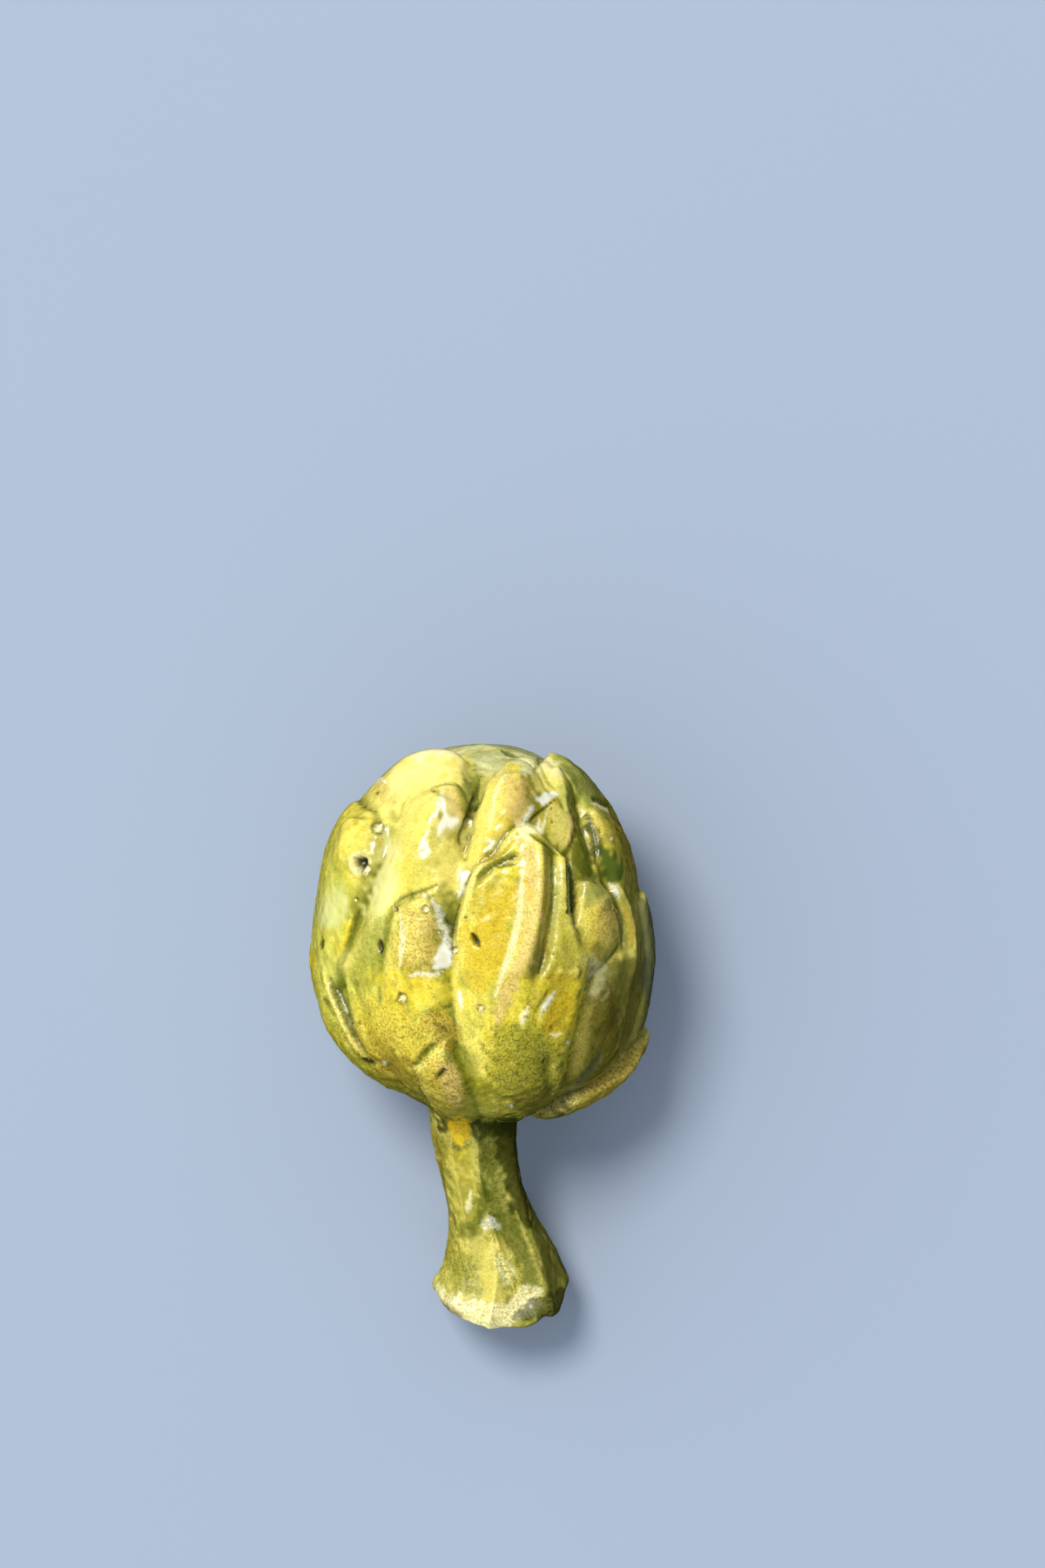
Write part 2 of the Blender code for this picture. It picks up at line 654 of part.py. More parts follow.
def thinned(mesh, triangles):
    """The same mesh with fewer triangles, kept close where the shape is fine."""
    helper = bpy.data.objects.new("thinning", mesh)
    bpy.context.scene.collection.objects.link(helper)
    fewer = helper.modifiers.new("fewer_triangles", "DECIMATE")
    fewer.ratio = triangles / (2 * len(mesh.polygons))
    graph = bpy.context.evaluated_depsgraph_get()
    result = bpy.data.meshes.new_from_object(helper.evaluated_get(graph))
    bpy.data.objects.remove(helper)
    return result


def cut_at_floor(mesh):
    """Cuts off what is under the floor, which leaves the small flat spots that the object rests on."""
    shape = bmesh.new()
    shape.from_mesh(mesh)
    everything = shape.verts[:] + shape.edges[:] + shape.faces[:]
    cut = bmesh.ops.bisect_plane(
        shape, geom=everything, dist=1e-6, plane_co=(0, 0, 0), plane_no=(0, 0, 1), clear_inner=True
    )
    rim = [part for part in cut["geom_cut"] if isinstance(part, bmesh.types.BMEdge)]
    bmesh.ops.edgeloop_fill(shape, edges=rim)
    bmesh.ops.recalc_face_normals(shape, faces=shape.faces)
    shape.to_mesh(mesh)
    shape.free()


def glaze():
    material = bpy.data.materials.new("glazed_ceramic")
    material.use_nodes = True
    shader = material.node_tree.nodes["Principled BSDF"]
    shader.inputs["Base Color"].default_value = GLAZE_COLOUR
    shader.inputs["Roughness"].default_value = 0.16
    shader.inputs["Metallic"].default_value = 0.0
    return material


def build_artichoke():
    profile, reach, points = body_grid(COLUMNS, ROWS)
    points = settled(profile, reach, points)
    mesh = thinned(grid_mesh("dense_artichoke", points), TRIANGLES)
    cut_at_floor(mesh)
    mesh.name = "artichoke"
    mesh.materials.clear()
    mesh.materials.append(glaze())
    mesh.shade_smooth()
    mesh.set_sharp_from_angle(angle=math.radians(50.0))
    artichoke = bpy.data.objects.new("artichoke", mesh)
    bpy.context.scene.collection.objects.link(artichoke)
    print("size", [round(side / MM, 1) for side in artichoke.dimensions], "triangles", len(mesh.polygons))


for leftover in list(bpy.data.objects):
    bpy.data.objects.remove(leftover)
build_artichoke()
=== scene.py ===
"""The looks of a life-size glazed ceramic artichoke that lies on its side, seen from straight above.

The form is that of the CAD part, worked out finer, with the marks of the hand and of the kiln in its surface:
pits, burst blisters, slits, creases and small lumps. The glaze's colour is painted on the finished form, by
where the glaze would pool or run thin and by patches that follow the reference photograph. Painted shade and
light go into that colour too: shade in the creases, under the head and on the side away from the lamp, and
highlights and reflections on ridges, rims and glossy faces.
"""

import math

import bpy
import numpy as np
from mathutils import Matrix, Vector


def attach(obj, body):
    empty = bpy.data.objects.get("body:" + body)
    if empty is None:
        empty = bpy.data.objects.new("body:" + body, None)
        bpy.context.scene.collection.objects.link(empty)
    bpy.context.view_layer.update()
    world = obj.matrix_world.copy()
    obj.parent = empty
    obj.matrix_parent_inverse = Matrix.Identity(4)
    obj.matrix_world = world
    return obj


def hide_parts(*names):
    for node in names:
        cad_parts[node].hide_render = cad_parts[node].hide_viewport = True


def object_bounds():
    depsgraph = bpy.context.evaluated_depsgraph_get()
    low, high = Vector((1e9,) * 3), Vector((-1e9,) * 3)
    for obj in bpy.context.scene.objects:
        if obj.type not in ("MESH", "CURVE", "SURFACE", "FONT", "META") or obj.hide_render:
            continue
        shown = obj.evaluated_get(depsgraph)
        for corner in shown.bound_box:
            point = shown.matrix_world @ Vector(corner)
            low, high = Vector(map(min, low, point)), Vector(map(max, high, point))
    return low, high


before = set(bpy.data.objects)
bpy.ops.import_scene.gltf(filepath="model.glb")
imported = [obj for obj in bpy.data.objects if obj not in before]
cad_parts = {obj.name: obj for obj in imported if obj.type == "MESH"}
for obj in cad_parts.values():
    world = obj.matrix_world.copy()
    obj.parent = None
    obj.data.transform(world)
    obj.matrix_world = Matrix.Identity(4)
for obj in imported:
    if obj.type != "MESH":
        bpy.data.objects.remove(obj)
cad_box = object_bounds()

MM = 0.001

# The object's frame: the crown end points to +Y, tilted up, and the stem end comes down to the floor.
TILT = math.radians(16.2)
HEAD_SINK = 1.1
STEM_DIP = 3.25

# Profile of the bare body, without its bracts: distance along the spine from the crown, and radius.
HEAD_PROFILE = [
    (2.6, 0.0), (3.0, 7.0), (5.0, 15.6), (8.6, 21.4), (13.6, 26.0), (20.4, 31.0), (30.0, 34.9),
    (43.7, 37.8), (55.0, 39.1), (64.0, 38.7), (71.0, 37.1), (77.0, 33.6), (82.4, 28.0), (86.6, 21.6),
    (89.8, 15.8),
]
STEM_PROFILE = [
    (94.0, 12.2), (102.0, 10.8), (110.0, 10.4), (120.0, 10.3), (127.0, 11.3), (133.0, 13.2), (139.0, 15.4),
]
END_PROFILE = [
    (142.4, 17.1), (144.0, 16.9), (144.6, 15.8), (143.9, 12.0), (143.3, 6.0), (143.2, 0.0),
]
HEAD_END = 93.0

# Sideways place of the spine, by distance from the crown.
SPINE_X = [
    (0.0, 0.0), (60.0, 0.0), (80.0, 0.9), (90.0, -1.0), (98.0, -2.2), (106.0, -1.6), (115.0, 0.2),
    (122.0, 2.2), (130.0, 4.0), (138.0, 5.0), (146.0, 4.6),
]

# How far the raised edges lean towards the crown, as a share of their height.
LEAN = 0.35
LEAN_FREE_REACH = (8.0, 26.0)

# The lean fades from LEAN_FADE before the head's end to LEAN_STOP past it. The spans are distances along the
# spine over which the flare's broken rim and the stem's dip set in. FLARE_RADIUS is the rim's radius, inside
# which the break flattens out.
LEAN_FADE = 6.0
LEAN_STOP = 10.0
FLARE_SPAN = (118.0, 141.0)
FLARE_RADIUS = 16.0
DIP_SPAN = (95.0, 142.0)

# Reach within which places are measured from the crown's pole rather than from a meridian. TINY keeps a
# division by nothing from failing.
POLE_SPAN = (8.0, 20.0)
TINY = 1e-9

# The side that is seen from above follows the reference photograph. Its places are pixels of that photograph,
# 1200 wide and 1800 high, read one by one. PIXEL_SIZE is a pixel's size on the object in millimetres, and
# PLAN_CROWN is the crown's pixel. A place is put on the body at the height of PLAN_HEIGHT over the bare body.
PIXEL_SIZE = 0.22
PLAN_CROWN = (553.0, 859.0)
PLAN_TILT = math.radians(17.4)
PLAN_HEIGHT = 3.5

# The grid of azimuths and reaches on which a pixel's place is looked up.
PLAN_AZIMUTH = 110.0
PLAN_TURN_STEP = 0.5
PLAN_REACH_STEP = 0.4

# Each bract: the seen part of its outline in pixels, the hidden part as azimuth and reach, then its height
# over the bare body at the tip and at the foot, and how much its middle bulges. The order is that of growth,
# crown first.
BRACTS = [
    ("crown_cap", [], [(25, 12), (70, 15), (110, 16), (150, 34), (185, 44), (220, 30), (250, 13), (300, 7),
     (350, 9)], (1.6, 1.4, 0.4)),
    ("crown_left", [], [(-20, 9), (-62, 7), (-108, 13), (-116, 28), (-102, 52), (-62, 76), (-24, 60),
     (-8, 34), (-2, 18)], (2.7, 1.0, 2.0)),
    ("crown_far_right", [], [(60, 20), (76, 15), (100, 17), (110, 30), (100, 54), (74, 60), (62, 38)],
     (4.2, 1.0, 1.8)),
    ("crown_right", [(612, 878), (622, 871), (637, 872), (649, 881), (658, 897), (668, 915), (673, 940),
     (660, 975), (636, 960), (618, 915)], [], (3.4, 1.0, 2.0)),
    ("inner_left", [], [(-71, 26), (-80, 24), (-94, 27), (-102, 37), (-98, 60), (-80, 64), (-66, 50),
     (-65, 34)], (2.8, 1.0, 0.4)),
    ("inner_right", [(659, 926), (668, 925), (677, 945), (692, 980), (697, 1010), (684, 1050), (655, 1056),
     (643, 1000), (646, 950)], [], (2.2, 1.0, 0.8)),
    ("shoulder_right", [(684, 1000), (683, 975), (678, 955), (672, 938), (673, 925), (681, 919),
     (691, 922)], [(92, 35), (104, 46), (104, 68), (86, 86), (62, 84)], (3.6, 0.8, 1.2)),
    ("front_left", [(498, 907), (507, 902), (520, 901), (531, 905), (537, 914), (540, 925), (536, 940),
     (530, 956), (529, 970), (540, 985), (550, 1010), (530, 1050), (490, 1062), (455, 1058), (430, 1042),
     (429, 1017), (436, 995), (445, 975), (453, 955), (463, 934), (474, 920), (486, 911)], [],
     (5.4, 1.2, 2.0)),
    ("front_upper", [(571, 882), (583, 877), (598, 876), (611, 882), (619, 893), (627, 905), (640, 914),
     (652, 928), (659, 944), (659, 964), (653, 978), (650, 1000), (650, 1030), (600, 1060), (545, 1045),
     (533, 1005), (534, 975), (540, 945), (545, 925), (550, 908), (558, 893)], [], (5.3, 1.4, 2.0)),
    ("side_left", [(426, 1034), (444, 1038), (454, 1060), (456, 1100), (456, 1150), (462, 1210),
     (440, 1226), (412, 1204), (396, 1164), (388, 1122), (396, 1090), (406, 1062), (414, 1042)], [],
     (3.0, 1.2, 1.4)),
    ("shoulder_left", [(423, 927), (434, 934), (442, 950), (441, 970), (434, 992), (426, 1015), (415, 1042),
     (407, 1066), (400, 1088), (392, 1108), (386, 1130)], [(-84, 102), (-104, 94), (-112, 68), (-108, 47),
     (-97, 37), (-83, 32)], (4.6, 1.2, 2.2)),
    ("far_right", [], [(80, 60), (86, 57.5), (98, 58), (110, 64), (116, 82), (110, 106), (88, 117),
     (76, 106), (78, 80)], (4.2, 1.4, 1.4)),
    ("side_right", [(697, 1020), (700, 1012), (708, 1008), (716, 1016), (724, 1030), (731, 1055),
     (735, 1090), (732, 1140), (722, 1190), (702, 1232), (676, 1262), (646, 1274), (636, 1240), (645, 1200),
     (655, 1150), (664, 1110), (690, 1090), (708, 1075), (711, 1058), (707, 1040)], [], (2.8, 1.4, 1.4)),
    ("low_right", [(661, 1012), (668, 1008), (680, 1012), (691, 1021), (701, 1033), (709, 1045),
     (712, 1062), (711, 1078), (704, 1092), (692, 1106), (682, 1124), (674, 1150), (666, 1185), (657, 1225),
     (642, 1270), (615, 1272), (612, 1200), (620, 1120), (640, 1080), (655, 1056), (659, 1035)], [],
     (4.8, 1.6, 1.6)),
    ("mid_left", [(452, 1046), (463, 1036), (478, 1030), (491, 1028), (501, 1036), (510, 1050), (519, 1065),
     (524, 1085), (527, 1110), (530, 1140), (534, 1180), (524, 1230), (492, 1264), (462, 1252), (445, 1217),
     (436, 1180), (434, 1140), (438, 1105), (444, 1080), (448, 1062)], [], (4.8, 1.6, 1.8)),
    ("front_large", [(600, 953), (612, 957), (626, 969), (639, 981), (647, 988), (650, 1005), (651, 1030),
     (655, 1055), (664, 1078), (674, 1092), (672, 1115), (667, 1142), (659, 1170), (652, 1196), (647, 1222),
     (642, 1250), (636, 1278), (600, 1288), (560, 1286), (534, 1264), (526, 1225), (522, 1180), (518, 1140),
     (516, 1100), (520, 1060), (530, 1025), (542, 998), (555, 987), (566, 981), (574, 973), (582, 963),
     (590, 956)], [], (6.8, 2.2, 1.8)),
    ("base_left", [(367, 1086), (373, 1102), (380, 1125), (389, 1150), (398, 1170), (405, 1188),
     (413, 1202), (430, 1222), (456, 1244)], [(-72, 120), (-100, 121), (-118, 108), (-120, 90), (-108, 77),
     (-94, 71), (-83, 69)], (4.2, 0.4, 1.2)),
    ("base_right", [], [(37, 114), (45, 108.5), (53, 105), (62, 102), (73, 98.5), (84, 95), (96, 92.5),
     (108, 95), (115, 103), (110, 113), (92, 120), (62, 121), (42, 119)], (5.4, 5.4, 2.4)),
    ("base_front", [(512, 1190), (521, 1200), (528, 1211), (536, 1226), (544, 1246), (551, 1265),
     (556, 1284), (530, 1292), (503, 1284), (489, 1268), (483, 1250), (479, 1234), (474, 1224), (482, 1216),
     (492, 1207), (502, 1198)], [], (5.0, 2.4, 1.8)),
]
BARE_HEIGHT = 1.2
BARE_FADE = 4.0

# The side that lies down: rows of bracts by the reach of their tips, each with the azimuths of its bracts.
BACK_ROWS = [
    (33.0, (128.0, 176.0, 222.0)),
    (46.0, (150.0, 200.0, 240.0)),
    (58.0, (126.0, 178.0, 230.0)),
    (72.0, (150.0, 212.0)),
    (87.0, (128.0, 178.0, 228.0)),
]
BACK_HALF_WIDTH = 15.0
BACK_LENGTH = 46.0
BACK_LEVELS = (5.0, 1.2, 1.0)
BACK_JITTER = 2.5
BACK_SEED = 11
BACK_WIDTH_JITTER = 1.5
BACK_SKEW = 0.03
BACK_LAST_REACH = 121.0

# Half of such a bract's outline, tip to foot, as shares of its half width and of its length.
BACK_SHAPE = [(0, 0), (0.36, 0.03), (0.74, 0.16), (1, 0.45), (0.8, 0.8), (0.4, 1)]

# The body's rough radius: that of its ends, how much it swells, over which reach and how bluntly.
ROUGH_ENDS = 12.0
ROUGH_SWELL = 28.0
ROUGH_REACH = 118.0
ROUGH_POWER = 0.6

# A thicker bract under the head, on which it rests, so that the flat spot reaches under the centre of mass.
RESTING_BRACT = ("resting", [], [(180, 64), (168, 66), (158, 73), (154, 86), (160, 100), (180, 108),
    (200, 100), (206, 86), (202, 73), (192, 66)], (9.4, 2.0, 0.6))

# Folds, valleys and swells, pressed into or drawn up from the clay: route in pixels, height and half width in
# millimetres.
FOLDS = [
    ("large_bract_ridge", [(608, 964), (612, 995), (613, 1030), (609, 1065), (601, 1100), (588, 1136)], 2.2,
     2.2),
    ("large_bract_groove", [(628, 982), (630, 1012), (629, 1045), (625, 1080), (618, 1110), (606, 1136)],
     -2.0, 1.15),
    ("large_bract_rim", [(641, 990), (643, 1020), (645, 1050), (651, 1075), (664, 1100)], 0.8, 1.3),
    ("large_bract_crease", [(596, 990), (580, 993), (566, 998), (555, 1006), (546, 1018)], -1.0, 0.8),
    ("side_right_rim", [(706, 1014), (716, 1034), (722, 1062), (724, 1098), (721, 1140)], 0.9, 1.5),
    ("side_left_rim", [(402, 1052), (396, 1076), (388, 1100), (384, 1124)], 0.8, 1.5),
    ("base_left_rim", [(372, 1100), (381, 1134), (391, 1164), (402, 1192), (420, 1216)], 0.8, 1.5),
    ("mid_left_rim", [(458, 1050), (460, 1080), (458, 1112)], 0.6, 1.6),
    ("ledge", [(632, 1117), (648, 1119), (664, 1115)], 1.0, 1.2),
    ("base_right_valley", [(624, 1205), (628, 1232), (628, 1262)], -0.9, 1.6),
    ("crown_left_swell", [(444, 910), (456, 890), (480, 873), (508, 868), (534, 880)], 1.3, 4.2),
    ("crown_notch", [(598, 862), (604, 874), (610, 886)], -1.6, 2.4),
    ("crown_right_swell", [(630, 884), (648, 898), (662, 918)], 1.2, 3.0),
    ("cap_valley", [(545, 872), (548, 890), (545, 908), (538, 930)], -1.8, 2.4),
    ("front_left_swell", [(516, 922), (500, 945), (480, 980), (464, 1015)], 1.7, 4.6),
    ("front_upper_swell", [(592, 892), (590, 920), (578, 950), (566, 975)], 1.5, 4.0),
    ("shoulder_left_swell", [(416, 945), (408, 972), (400, 1006)], 1.6, 4.4),
    ("shoulder_gap", [(452, 932), (445, 968), (434, 1004), (418, 1034), (405, 1066), (394, 1106)], -1.9,
     2.8),
    ("left_valley", [(470, 908), (458, 926), (452, 944)], -1.2, 2.4),
    ("middle_gap", [(537, 930), (530, 965), (524, 1000), (518, 1040), (518, 1080), (526, 1130)], -1.8, 2.8),
    ("mid_left_swell", [(484, 1048), (482, 1082), (484, 1120)], 1.2, 5.0),
    ("low_middle_valley", [(500, 1150), (515, 1172), (530, 1200), (540, 1235)], -1.2, 3.2),
    ("right_valley", [(648, 896), (668, 930), (682, 962), (696, 998), (708, 1030)], -1.7, 2.4),
    ("low_right_swell", [(680, 1030), (690, 1060), (688, 1090)], 1.0, 3.6),
    ("right_edge_valley", [(684, 1098), (676, 1135), (668, 1175), (658, 1215), (648, 1250)], -1.7, 3.0),
    ("side_right_swell", [(708, 1090), (702, 1140), (690, 1190)], 0.8, 3.6),
    ("side_left_valley", [(398, 1110), (410, 1150), (424, 1186), (444, 1220)], -1.2, 2.6),
    ("base_left_valley", [(374, 1140), (386, 1172), (404, 1204)], -0.9, 2.0),
]

# Shallow hollows pressed into the faces: place in pixels, depth, half size across and along in millimetres,
# and turn in degrees. HOLLOW_POWER makes their middles flatter and their sides steeper.
HOLLOWS = [
    ("large_bract_face", (560, 1066), 1.7, 7.0, 19.0, 14.0),
    ("below_ledge", (640, 1150), 1.3, 4.0, 9.0, 12.0),
    ("front_upper_right", (634, 945), 0.7, 5.0, 9.0, 0.0),
    ("low_right_face", (690, 1062), 0.8, 3.5, 6.0, 20.0),
    ("side_right_face", (700, 1150), 1.0, 7.0, 16.0, 0.0),
]

HOLLOW_POWER = 1.5

# Steps between two places of an outline and of a line, how many half widths a fold reaches sideways, and
# between which shares of its length it is full.
OUTLINE_STEPS = 4
LINE_STEPS = 6
FOLD_REACH = 4
FOLD_FULL = (0.15, 0.75)

# A bract's edge and face: widths and heights in millimetres, and how fast its level falls from tip to foot. A
# bract owns the places that it raises by more than OWNED_RISE.
EDGE_WIDTH = 1.9
EDGE_DROOP = 0.9
BULGE_WIDTH = 9.0
LEVEL_FALL = 1.6
OWNED_RISE = 0.12

# Stem facets, and the broken rim of the stem end. A notch is its azimuth in degrees, its depth in millimetres
# and its half width in degrees.
FACET_COUNT = 7
FACET_HEIGHT = 0.85
FACET_TWIST = 0.006
FACET_UNEVEN = (0.3, 0.12)
FACET_MEAN = 0.64
FACET_START = 8.0
FACET_STOP = 3.0
FACET_GROWTH = 0.7
FACET_GROWTH_SPAN = (124.0, 138.0)
RIM_SLANT = 4.6
RIM_SLANT_AZIMUTH = 6.0
RIM_SLANT_POWER = 1.3
RIM_NOTCHES = [
    (-44.0, 1.0, 9.0), (39.0, 1.6, 9.0), (84.0, 1.8, 12.0), (150.0, 1.2, 14.0), (-128.0, 1.6, 12.0),
]

# Slow waves that hands leave in clay: their number, height, range of lengths and seed.
WAVE_COUNT = 9
WAVE_HEIGHT = 0.22
WAVE_LENGTHS = (13.0, 30.0)
WAVE_SEED = 4


def smooth_line(points, steps=24):
    """Points along a smooth curve through the given ones."""
    knots = np.array(points, float)
    arc = np.concatenate([[0.0], np.cumsum(np.linalg.norm(np.diff(knots, axis=0), axis=1))])
    slopes = np.empty_like(knots)
    slopes[1:-1] = (knots[2:] - knots[:-2]) / (arc[2:] - arc[:-2])[:, None]
    slopes[0] = (knots[1] - knots[0]) / arc[1]
    slopes[-1] = (knots[-1] - knots[-2]) / (arc[-1] - arc[-2])
    u = np.linspace(0.0, 1.0, steps, endpoint=False)[:, None]
    pieces = []
    for i, gap in enumerate(np.diff(arc)):
        start = (2 * u**3 - 3 * u**2 + 1) * knots[i] + (u**3 - 2 * u**2 + u) * gap * slopes[i]
        end = (3 * u**2 - 2 * u**3) * knots[i + 1] + (u**3 - u**2) * gap * slopes[i + 1]
        pieces.append(start + end)
    return np.concatenate(pieces + [knots[-1:]])


def smooth_loop(points, steps):
    """Points along a smooth closed curve through the given ones."""
    knots = np.concatenate([points[-2:], points, points[:2]])
    return smooth_line(knots, steps)[2 * steps : -2 * steps - 1]


def smoothstep(low, high, value):
    share = np.clip((value - low) / (high - low), 0.0, 1.0)
    return share * share * (3.0 - 2.0 * share)


def full_between(span, along):
    """1 between two shares of a line, falling to 0 at the line's ends."""
    return smoothstep(0.0, span[0], along) * smoothstep(1.0, span[1], along)


class Profile:
    """The bare body's outline, as functions of the reach along it."""

    def __init__(self):
        line = smooth_line(HEAD_PROFILE + STEM_PROFILE + END_PROFILE)
        self.line = line
        self.reach = np.concatenate([[0.0], np.cumsum(np.linalg.norm(np.diff(line, axis=0), axis=1))])
        self.slope = np.gradient(line, self.reach, axis=0)
        self.length = self.reach[-1]
        past_head = np.flatnonzero(line[:, 0] > HEAD_END)
        self.head_length = self.reach[past_head[0]]
        self.rim = self.reach[past_head[np.argmax(line[past_head, 1])]]

    def along(self, reach):
        return np.interp(reach, self.reach, self.line[:, 0])

    def radius(self, reach):
        return np.interp(reach, self.reach, self.line[:, 1])

    def direction(self, reach):
        """Unit steps along the spine and outwards, going along the profile."""
        along = np.interp(reach, self.reach, self.slope[:, 0])
        out = np.interp(reach, self.reach, self.slope[:, 1])
        size = np.hypot(along, out)
        return along / size, out / size


def rim_shift(azimuth):
    """How much further than the plain profile the stem end's rim goes, round the stem."""
    turn = np.radians(azimuth)
    shift = RIM_SLANT * np.maximum(np.cos(turn - math.radians(RIM_SLANT_AZIMUTH)), 0.0) ** RIM_SLANT_POWER
    for middle, depth, half in RIM_NOTCHES:
        away = (azimuth - middle + 180.0) % 360.0 - 180.0
        shift = shift - depth * np.exp(-((away / half) ** 2))
    return shift


def body_points(profile, azimuth, reach, height, tilt):
    """Places in millimetres with the crown at the origin, before the body is set on the floor."""
    turn = np.radians(azimuth)
    step_along, step_out = profile.direction(reach)
    on_head = smoothstep(profile.head_length + LEAN_STOP, profile.head_length - LEAN_FADE, reach)
    lean = LEAN * smoothstep(*LEAN_FREE_REACH, reach) * on_head
    along = profile.along(reach) - (step_out + step_along * lean) * height
    radius = profile.radius(reach) + (step_along - step_out * lean) * height
    past_rim = np.where(reach > profile.rim, (radius / FLARE_RADIUS) ** 2, 1.0)
    flare = smoothstep(*FLARE_SPAN, along) * past_rim
    along = along + rim_shift(azimuth) * flare
    side = np.interp(along, *smooth_line(SPINE_X).T)
    dip = -STEM_DIP * smoothstep(*DIP_SPAN, along)
    across = side + radius * np.sin(turn)
    up = dip + radius * np.cos(turn)
    far = -along * math.cos(tilt) - up * math.sin(tilt)
    high = -along * math.sin(tilt) + up * math.cos(tilt)
    return np.stack([across, far, high], -1)


class Plan:
    """Puts places of the photograph on the body."""

    def __init__(self, profile):
        azimuths = np.arange(-PLAN_AZIMUTH, PLAN_AZIMUTH + PLAN_TURN_STEP, PLAN_TURN_STEP)
        azimuth, reach = np.meshgrid(azimuths, np.arange(0.0, profile.length, PLAN_REACH_STEP))
        points = body_points(profile, azimuth, reach, np.full(azimuth.shape, PLAN_HEIGHT), PLAN_TILT)
        round_step = np.gradient(points, axis=1)
        along_step = np.gradient(points, axis=0)
        seen = np.cross(along_step, round_step)[..., 2] > 0.0
        self.across = PLAN_CROWN[0] + points[seen][:, 0] / PIXEL_SIZE
        self.down = PLAN_CROWN[1] - points[seen][:, 1] / PIXEL_SIZE
        self.azimuth = azimuth[seen]
        self.reach = reach[seen]

    def place(self, across, down):
        nearest = np.argmin((self.across - across) ** 2 + (self.down - down) ** 2)
        return self.azimuth[nearest], self.reach[nearest]


def local_place(profile, azimuth, reach, meridian):
    """Millimetres to the right of a meridian and along it, for azimuths in degrees."""
    turn = np.radians(azimuth - meridian)
    near_pole = 1.0 - smoothstep(*POLE_SPAN, reach)
    facing = np.where(np.cos(turn) < 0.0, -1.0, 1.0)
    facing = facing + near_pole * (np.cos(turn) - facing)
    return profile.radius(reach) * np.sin(turn), reach * facing


def local_route(profile, plan, seen, hidden=()):
    """A route's middle meridian, and its places in millimetres to the right of that and along it."""
    places = np.array([plan.place(*spot) for spot in seen] + list(hidden), float)
    meridian = (places[:, 0].min() + places[:, 0].max()) / 2
    return meridian, np.stack(local_place(profile, places[:, 0], places[:, 1], meridian), 1)


def in_box(x, y, places, margin):
    low, high = np.min(places, axis=0) - margin, np.max(places, axis=0) + margin
    return (x > low[0]) & (x < high[0]) & (y > low[1]) & (y < high[1])


def offset_from_step(x, y, start, end):
    """Each place's offset from the nearest spot of a straight step, and that spot's share of the step."""
    (x0, y0), (x1, y1) = start, end
    step_x, step_y = x1 - x0, y1 - y0
    share = np.clip(((x - x0) * step_x + (y - y0) * step_y) / (step_x**2 + step_y**2 + TINY), 0.0, 1.0)
    return x - x0 - share * step_x, y - y0 - share * step_y, share


def line_distance(x, y, line):
    """Distance from a drawn line at each place, and how far along the line the nearest spot is."""
    nearest = np.full(x.shape, np.inf)
    share_of = np.zeros(x.shape)
    for i, (start, end) in enumerate(zip(line, line[1:])):
        off_x, off_y, share = offset_from_step(x, y, start, end)
        away = np.hypot(off_x, off_y)
        closer = away < nearest
        nearest = np.where(closer, away, nearest)
        share_of = np.where(closer, (i + share) / (len(line) - 1), share_of)
    return nearest, share_of


def edge_distance(x, y, outline):
    """How far each place is inside a closed outline, negative outside it."""
    nearest = np.full(x.shape, np.inf)
    inside = np.zeros(x.shape, bool)
    for (x0, y0), (x1, y1) in zip(outline, np.roll(outline, -1, axis=0)):
        off_x, off_y, _ = offset_from_step(x, y, (x0, y0), (x1, y1))
        nearest = np.minimum(nearest, off_x**2 + off_y**2)
        if y1 != y0:
            crosses = (y0 > y) != (y1 > y)
            inside ^= crosses & (x < (x1 - x0) * (y - y0) / (y1 - y0) + x0)
    return np.where(inside, 1.0, -1.0) * np.sqrt(nearest)


def rough_radius(reach):
    share = min(max(reach, 0.0), ROUGH_REACH) / ROUGH_REACH
    return ROUGH_ENDS + ROUGH_SWELL * math.sin(share * math.pi) ** ROUGH_POWER


def back_bracts():
    """The bracts of the side that lies down, placed in staggered rows with a little disorder."""
    disorder = np.random.default_rng(BACK_SEED)
    found = []
    for row, (tip_reach, azimuths) in enumerate(BACK_ROWS):
        for place, azimuth in enumerate(azimuths):
            turn, shift, wider = disorder.uniform(-1.0, 1.0, 3)
            middle = azimuth + BACK_JITTER * turn
            tip = tip_reach + BACK_JITTER * shift
            half = BACK_HALF_WIDTH + BACK_WIDTH_JITTER * wider
            foot = min(tip + BACK_LENGTH, BACK_LAST_REACH)
            places = [(across, along + BACK_SKEW * turn * across) for across, along in BACK_SHAPE]
            places += [(-across, along - 2 * BACK_SKEW * turn * across) for across, along in places[:0:-1]]
            outline = []
            for across, along in places:
                reach = tip + along * (foot - tip)
                outline.append((middle + math.degrees(across * half / rough_radius(reach)), reach))
            found.append((f"back_{row}_{place}", [], outline, BACK_LEVELS))
    return found


